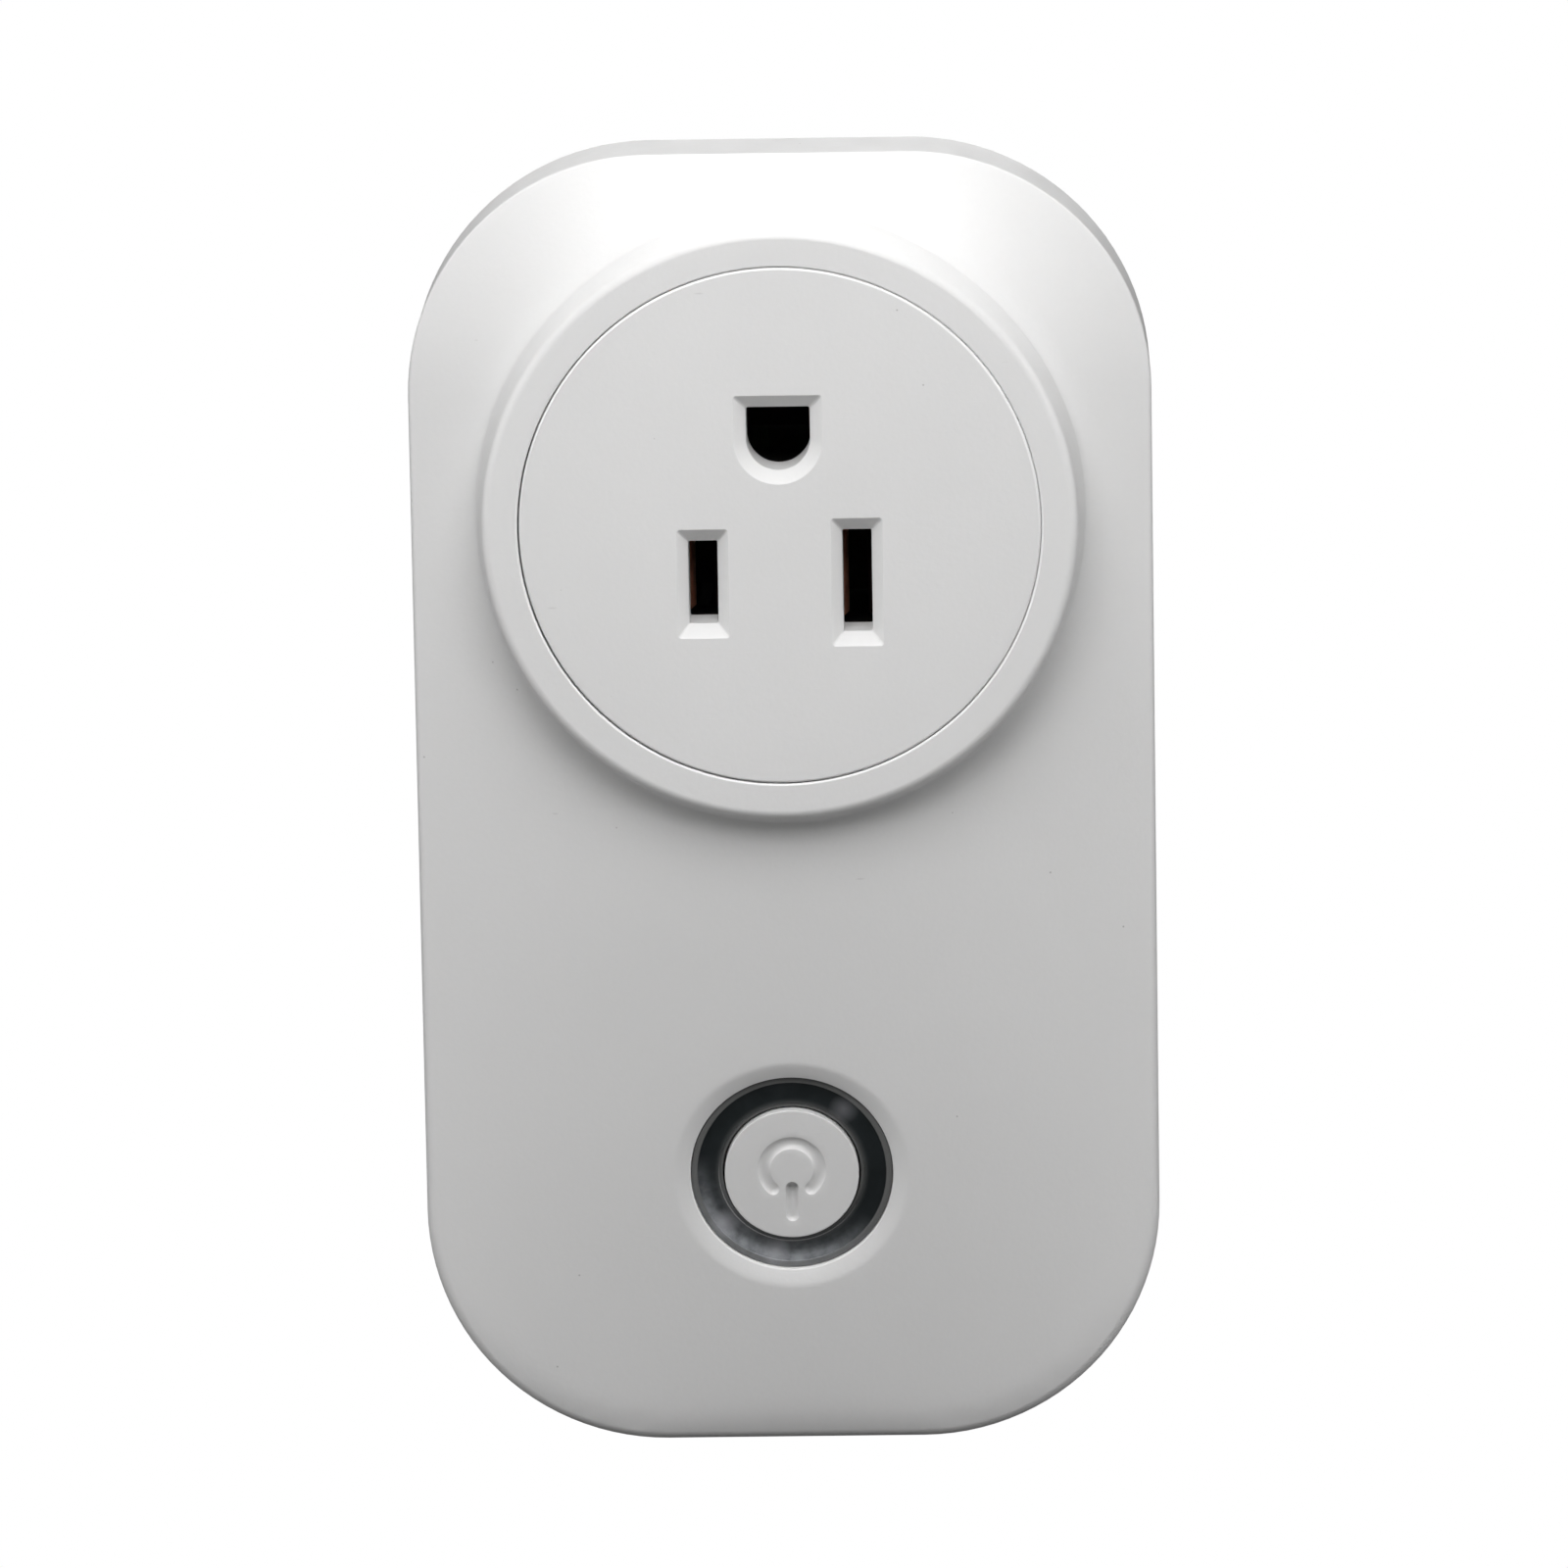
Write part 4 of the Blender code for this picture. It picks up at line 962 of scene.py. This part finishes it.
def painted_insert_highlight(look, tint):
    """Painted highlight: the upper side of the insert's rim is painted bright, where it would catch the
    light from above.
    """
    radius, height = look.round_socket()
    # painted highlight band along the insert's rim, on its upper side
    rim = look.near(radius, BORE_RADIUS - SEAM - 0.09, 0.06, 0.06)
    return look.mix(look.times(rim, look.span(height, -3.0, 9.0)), tint, PAINTED_EDGE_HIGHLIGHT)


def no_painted_highlights(_, tint):
    return tint


def white_plastic(name, colour, roughness, grain, specks=0.45, painted_highlights=no_painted_highlights):
    """Moulded ABS: soft colour drift, orange-peel grain, hairline scuffs and a few tiny specks, plus the
    painted edge highlights that the given function adds to the colour.
    """
    look = Look(name)
    drift = look.span(look.noise(0.06, 3.0), 0.3, 0.7)
    tint = look.mix(drift, rgb(*colour), darker(colour, 0.977))
    fine = look.span(look.noise(2.2, 3.0), 0.35, 0.65)
    # painted edge highlights, if any, go into the colour here
    tint = painted_highlights(look, look.mix(look.times(fine, 0.035), tint, darker(colour, 0.8)))
    dots = look.marks(look.place, 0.5, 0.055, 0.93)
    strokes = look.marks(look.scaled((200, 1000, 1000)), 0.8, 0.08, 0.94)
    spot = look.times(look.math("MAXIMUM", dots, look.times(strokes, 0.3)), specks)
    polish = look.span(look.noise(0.35, 4.0, 0.6), 0.35, 0.7, roughness - 0.05, roughness + 0.07)
    scuffs = look.span(look.noise(1.0, 4.0, 0.7, look.scaled((160, 1000, 2600))), 0.66, 0.72)
    normal = look.bump(scuffs, 0.004, look.bump(look.noise(1.9, 2.5, 0.55), grain))
    return look.finish(look.mix(spot, tint, SPECK_BROWN), polish, normal, IOR=1.5, Subsurface_Weight=0.06,
                       Subsurface_Radius=(0.0012, 0.0011, 0.0010), Subsurface_Scale=1.0)


def painted_lens_haze(look, radius, downward, outer_rim):
    """Painted light scattered in the lens: a patchy hazy band that thickens towards the lower left and thins
    out over the rims.
    """
    painted_haze = look.math("POWER", look.span(downward, 1.2, 7.0), 1.3)
    painted_haze = look.times(painted_haze, look.span(radius, 6.85, 7.45, 0.4, 1.0))
    painted_haze = look.times(painted_haze, look.span(look.noise(0.9, 4.0, 0.6), 0.35, 0.62, 0.55, 1.0))
    return look.times(painted_haze, look.span(outer_rim, 0.0, 1.0, 1.0, 0.3))


def smoked_lens():
    """Smoked lens: near black and greyer at its rims, where the grey at the inner rim is painted light
    beside the bright cap; painted hazy light at its lower left, a painted highlight along the inner land's
    lower side, and pale soft LED spots.
    """
    look = Look("smoked_lens_glow")
    radius, downward = look.round_button()
    outer_rim = look.span(radius, FLOOR_OUTER, FLOOR_OUTER + 0.06)
    # painted light at the inner rim, spilling from the bright cap beside it
    painted_inner_rim_light = look.math("POWER", look.span(radius, RING_INNER, FLOOR_INNER + 0.4, 1.0, 0.0), 1.6)
    mottle = look.span(look.noise(0.5, 3.0), 0.35, 0.7)
    floor = look.mix(mottle, rgb(0.005, 0.008, 0.009), rgb(0.011, 0.015, 0.017))
    base = look.mix(look.math("MAXIMUM", outer_rim, painted_inner_rim_light), floor, rgb(0.135, 0.137, 0.135))
    # the painted hazy light, towards the lower left
    base = look.mix(painted_lens_haze(look, radius, downward, outer_rim), base, rgb(0.33, 0.345, 0.365))
    # painted highlight: a thin bright line at the inner land's edge, on its lower side only
    thread = look.times(look.near(radius, FLOOR_INNER - 0.02, 0.02, 0.04), look.span(downward, 0.5, 5.0))
    base = look.mix(look.times(thread, 0.7), base, rgb(0.5, 0.5, 0.5))
    for degrees, reach, strength in LEDS:
        angle = math.radians(degrees)
        spot = button_point(reach * math.cos(angle), 1.0, reach * math.sin(angle))
        glow = look.span(look.vector("DISTANCE", look.place, tuple(spot)), 0.0, 1.35, strength, 0.0)
        base = look.mix(glow, base, rgb(0.42, 0.42, 0.45))
    return look.finish(base, look.span(look.noise(3.0, 4.0), 0.3, 0.75, 0.34, 0.48),
                       look.bump(look.noise(5.0, 3.0), 0.002),
                       Specular_IOR_Level=0.35, Coat_Weight=0.12, Coat_Roughness=0.2)


def metal(name, colour, tarnish, roughness, grain_scale=(1000, 120, 1000)):
    """Rolled or drawn metal: fine grain lines, patches of tarnish and uneven polish."""
    look = Look(name)
    patch = look.span(look.noise(0.5, 4.0, 0.6), 0.42, 0.68)
    lines = look.noise(6.0, 3.0, 0.6, look.scaled(grain_scale))
    base = look.mix(patch, rgb(*colour), rgb(*tarnish))
    polish = look.span(lines, 0.3, 0.7, roughness - 0.08, roughness + 0.1)
    return look.finish(base, polish, look.bump(lines, 0.003), Metallic=1.0)


def contact_leaf(name, middle, painted_lit_side):
    """Bronze leaves with painted shade: they are painted darker deeper below the socket's face, and the leaf
    on one side of the slot is painted in a lit colour, the other in a dark shaded one.
    """
    look = Look(name)
    split = look.node("ShaderNodeSeparateXYZ")
    look.feed(split.inputs[0], look.place)
    # painted shade: the leaves go near black deeper below the socket's face
    depth = look.span(split.outputs["Y"], BOSS_Y + 6.5, BOSS_Y + 13.0)
    patch = look.span(look.noise(0.7, 4.0, 0.6), 0.4, 0.7)
    lit_side_bronze = look.mix(patch, rgb(0.80, 0.36, 0.22), rgb(0.55, 0.22, 0.13))
    # painted light: the side of the slot named by the lit-side argument takes the lit bronze, the other side
    # a dark shaded copy
    lit = look.span(split.outputs["X"], middle - painted_lit_side * 0.2, middle + painted_lit_side * 0.2)
    base = look.mix(depth, look.mix(lit, rgb(0.03, 0.015, 0.012), lit_side_bronze), rgb(0.012, 0.007, 0.006))
    return look.finish(base, look.span(look.noise(5.0, 3.0), 0.3, 0.7, 0.42, 0.58),
                       look.bump(look.noise(6.0, 3.0), 0.004), Metallic=0.7)


def moulded(name, colour, roughness, grain=0.006, sheen=0.0):
    """A small technical moulding: satin skin, faint mottling and fine grain."""
    look = Look(name)
    mottle = look.span(look.noise(0.8, 4.0, 0.6), 0.35, 0.7)
    polish = look.span(look.noise(1.4, 3.0), 0.3, 0.7, roughness - 0.06, roughness + 0.08)
    return look.finish(look.mix(mottle, rgb(*colour), darker(colour, 0.78)), polish,
                       look.bump(look.noise(4.0, 3.0), grain), Coat_Weight=sheen)


def laminate(name, mask, copper):
    """Solder mask over copper tracks, which show as lighter raised bands, with the weave as grain."""
    look = Look(name)
    tracks = look.node("ShaderNodeTexBrick")
    look.feed_all(tracks, {"Vector": look.place, "Scale": 0.16, "Mortar Size": 0.05})
    band = look.span(tracks.outputs["Fac"], 0.0, 1.0)
    weave = look.noise(7.0, 2.0)
    tint = look.mix(band, rgb(*mask), rgb(*copper))
    return look.finish(look.mix(look.times(weave, 0.25), tint, darker(mask, 0.5)),
                       look.span(weave, 0.3, 0.7, 0.28, 0.45),
                       look.bump(band, 0.02, look.bump(weave, 0.004)), Coat_Weight=0.3)


def wound(name, colour, dark, pitch):
    """Turns of wire or tape round a Y axis, as fine raised bands."""
    look = Look(name)
    wave = look.node("ShaderNodeTexWave", wave_type="BANDS", bands_direction="Y")
    look.feed_all(wave, {"Vector": look.place, "Scale": pitch, "Distortion": 0.4})
    turns = wave.outputs["Fac"]
    return look.finish(look.mix(turns, rgb(*dark), rgb(*colour)), look.span(turns, 0.0, 1.0, 0.5, 0.28),
                       look.bump(turns, 0.05))


WHITE = white_plastic("satin_abs_front", (0.80, 0.797, 0.794), 0.40, 0.014, painted_highlights=painted_cover_highlights)
WHITE_REAR = white_plastic("satin_abs_rear", (0.79, 0.787, 0.784), 0.44, 0.016)
WHITE_FACE = white_plastic("satin_abs_insert", (0.80, 0.797, 0.794), 0.42, 0.015, painted_highlights=painted_insert_highlight)
WHITE_CAP = white_plastic("satin_abs_cap", (0.79, 0.787, 0.784), 0.40, 0.009, 0.2)
SMOKED = smoked_lens()
BRASS = metal("rolled_brass", (0.78, 0.62, 0.34), (0.60, 0.42, 0.20), 0.24)
ZINC = metal("zinc_plate", (0.66, 0.67, 0.69), (0.48, 0.48, 0.50), 0.3)

# The looks of the carried-over nodes, each with the nodes that wear it
CAD_LOOKS = (
    (BRASS, "relay_fixed_terminal"),
    (ZINC, "relay_yoke relay_core relay_armature board_screw_upper board_screw_lower"),
    (ZINC, "socket_screw_left socket_screw_right control_screw_left control_screw_right"),
    (metal("bronze_strip", (0.46, 0.22, 0.11), (0.26, 0.11, 0.06), 0.42), "relay_contact_spring"),
    (metal("silver_contact", (0.85, 0.84, 0.81), (0.62, 0.60, 0.56), 0.22),
     "relay_moving_contact relay_fixed_contact"),
    (metal("tinned_can", (0.74, 0.74, 0.75), (0.58, 0.58, 0.60), 0.26, (300, 1000, 1000)), "wifi_shield"),
    (contact_leaf("hot_contact_bronze", -BLADE_X, -1), "hot_contact"),
    (contact_leaf("neutral_contact_bronze", BLADE_X, -1), "neutral_contact"),
    (contact_leaf("ground_contact_bronze", 0.0, 1), "ground_contact"),
    (moulded("nylon_insulator", (0.055, 0.052, 0.048), 0.5, 0.01), "socket_carrier blade_holder"),
    (moulded("nylon_natural", (0.62, 0.60, 0.55), 0.5, 0.01), "relay_bobbin"),
    (moulded("black_moulding", (0.03, 0.03, 0.032), 0.42),
     "pin_header relay_base tact_switch_body bridge_rectifier regulator"),
    (moulded("acetal_plunger", (0.55, 0.10, 0.08), 0.4), "tact_switch_plunger"),
    (moulded("relay_cover", (0.02, 0.10, 0.42), 0.3, 0.004, 0.3), "relay_case"),
    (moulded("capacitor_sleeve", (0.02, 0.02, 0.03), 0.36, 0.004, 0.2),
     "bulk_capacitor_left bulk_capacitor_right"),
    (moulded("film_capacitor", (0.78, 0.55, 0.03), 0.35, 0.006, 0.3), "x_capacitor"),
    (moulded("dipped_epoxy", (0.03, 0.16, 0.45), 0.3, 0.02, 0.5), "varistor"),
    (moulded("fuse_tube", (0.80, 0.78, 0.72), 0.38, 0.008), "fuse"),
    (moulded("sintered_ferrite", (0.06, 0.06, 0.065), 0.62, 0.03), "transformer_core inductor"),
    (moulded("led_lens", (0.85, 0.85, 0.75), 0.2, 0.002, 0.4), "led_upper led_lower led_bottom"),
    (moulded("wire_jacket", (0.03, 0.03, 0.03), 0.42), "load_wire"),
    (laminate("dark_laminate", (0.008, 0.016, 0.011), (0.018, 0.040, 0.026)), "power_board control_board"),
    (laminate("module_laminate", (0.015, 0.04, 0.14), (0.04, 0.10, 0.28)), "wifi_board"),
    (wound("enamelled_coil", (0.62, 0.22, 0.06), (0.20, 0.06, 0.02), 2.4), "relay_coil"),
    (wound("winding_tape", (0.74, 0.58, 0.06), (0.50, 0.36, 0.03), 0.7), "transformer_winding"),
)
ROUND_NODES = ("load_wire", "relay_coil", "relay_bobbin", "relay_core", "bulk_capacitor_left",
               "bulk_capacitor_right", "varistor", "fuse", "inductor")


def dress_cad_nodes():
    """Gives each carried-over node its look, and softened edges unless it is round."""
    for look, nodes in CAD_LOOKS:
        for node in nodes.split():
            piece = frame["nodes"][node]
            piece.data.materials.clear()
            piece.data.materials.append(look)
            if node not in ROUND_NODES:
                soft = piece.modifiers.new("soft_edges", "BEVEL")
                soft.width = 0.06 * MM
                soft.segments = 2
                soft.limit_method = "ANGLE"
                soft.angle_limit = math.radians(40)


# ---- stage, light and camera

PLUG_MIDDLE = Vector((0.0, -0.02, -0.01))


def area_light(name, place, size, power):
    data = bpy.data.lights.new(name, "AREA")
    data.shape = "RECTANGLE"
    data.size, data.size_y = size
    data.energy = power
    light = bpy.data.objects.new(name, data)
    bpy.context.scene.collection.objects.link(light)
    light.location = place
    light.rotation_mode = "QUATERNION"
    light.rotation_quaternion = (PLUG_MIDDLE - place).to_track_quat("-Z", "Y")


def camera_switch(tree, hidden, seen, end):
    """Feeds end with one shader for the camera's own rays and another for all other light."""
    ray = tree.nodes.new("ShaderNodeLightPath")
    mix = tree.nodes.new("ShaderNodeMixShader")
    tree.links.new(ray.outputs["Is Camera Ray"], mix.inputs[0])
    tree.links.new(hidden.outputs[0], mix.inputs[1])
    tree.links.new(seen.outputs[0], mix.inputs[2])
    tree.links.new(mix.outputs[0], end.inputs["Surface"])


def empty_tree(owner):
    owner.use_nodes = True
    owner.node_tree.nodes.clear()
    return owner.node_tree


def floor_look(bounce):
    """White to the camera, and a grey that bounces only a little light."""
    made = bpy.data.materials.new("pale_floor")
    tree = empty_tree(made)
    shown = tree.nodes.new("ShaderNodeEmission")
    shown.inputs["Color"].default_value = rgb(1.0, 1.0, 1.0)
    grey = tree.nodes.new("ShaderNodeBsdfDiffuse")
    grey.inputs["Color"].default_value = rgb(bounce, bounce, bounce)
    camera_switch(tree, grey, shown, tree.nodes.new("ShaderNodeOutputMaterial"))
    return made


def build_floor():
    """A wide pale floor under the plug, which stands on its lower end."""
    half = 6.0
    level = FRONT_LOW.z * MM - 0.0004
    data = bmesh.new()
    bmesh.ops.create_grid(data, x_segments=3, y_segments=3, size=half,
                          matrix=Matrix.Translation((0.0, 0.0, level)))
    mesh = bpy.data.meshes.new("pale_floor")
    data.to_mesh(mesh)
    data.free()
    mesh.materials.append(floor_look(0.16))
    floor = bpy.data.objects.new("pale_floor", mesh)
    bpy.context.scene.collection.objects.link(floor)


def build_world():
    """White to the camera; to the plug, a room that is lit from above and dark below."""
    world = bpy.data.worlds.new("studio")
    bpy.context.scene.world = world
    tree = empty_tree(world)
    coords = tree.nodes.new("ShaderNodeTexCoord")
    split = tree.nodes.new("ShaderNodeSeparateXYZ")
    ramp = tree.nodes.new("ShaderNodeMapRange")
    for key, number in (("From Min", -0.4), ("From Max", 0.7), ("To Min", 0.004), ("To Max", 0.03)):
        ramp.inputs[key].default_value = number
    room = tree.nodes.new("ShaderNodeBackground")
    seen = tree.nodes.new("ShaderNodeBackground")
    for shader in (room, seen):
        shader.inputs["Color"].default_value = rgb(1.0, 1.0, 1.0)
    tree.links.new(coords.outputs["Generated"], split.inputs[0])
    tree.links.new(split.outputs["Z"], ramp.inputs["Value"])
    tree.links.new(ramp.outputs["Result"], room.inputs["Strength"])
    camera_switch(tree, room, seen, tree.nodes.new("ShaderNodeOutputWorld"))


def direction(azimuth, elevation):
    """A unit vector from angles in degrees; azimuth 0 is straight in front of the plug."""
    across, up = math.radians(azimuth), math.radians(elevation)
    return Vector((math.sin(across) * math.cos(up), -math.cos(across) * math.cos(up), math.sin(up)))


def from_plug(azimuth, elevation, reach):
    return PLUG_MIDDLE + direction(azimuth, elevation) * reach


def build_lights():
    """Two close soft boxes over the camera, a low and a high one at each side and one behind."""
    area_light("key_softbox", from_plug(0, 30, 0.4), (0.25, 0.2), 0.16)
    area_light("top_softbox", from_plug(0, 44, 0.3), (0.2, 0.2), 0.62)
    for side, name in ((-1, "left"), (1, "right")):
        area_light(name + "_low_softbox", from_plug(side * 75, 10, 0.7), (0.4, 0.6), 1.4)
        area_light(name + "_high_softbox", from_plug(side * 65, 50, 0.6), (0.4, 0.4), 0.55)
    area_light("rear_softbox", from_plug(180, 60, 0.7), (0.6, 0.4), 2.2)


def build_camera():
    """Long lens, a little above the socket's normal and turned slightly, as the plug was seen."""
    target = Vector((-0.08, -27.0, -17.9)) * MM
    reach = 903.4 * MM
    roll = math.radians(-0.97)
    back = direction(1.21, 11.32)
    level = (-back).to_track_quat("-Z", "Y").to_matrix()
    data = bpy.data.cameras.new("camera")
    data.lens = 249.8
    data.sensor_width = 36.0
    data.clip_end = 20.0
    camera = bpy.data.objects.new("camera", data)
    bpy.context.scene.collection.objects.link(camera)
    turn = level @ Matrix.Rotation(roll, 3, "Z")
    camera.matrix_world = Matrix.Translation(target + back * reach) @ turn.to_4x4()
    bpy.context.scene.camera = camera


def main():
    front_cover()
    rear_cover()
    socket_face()
    light_ring()
    button_cap()
    blade("hot_prong", "hot_blade", -1)
    blade("neutral_prong", "neutral_blade", 1)
    ground_pin()
    case_screws()
    dress_cad_nodes()
    build_floor()
    build_world()
    build_lights()
    build_camera()
    bpy.context.scene.view_settings.view_transform = "Standard"


main()
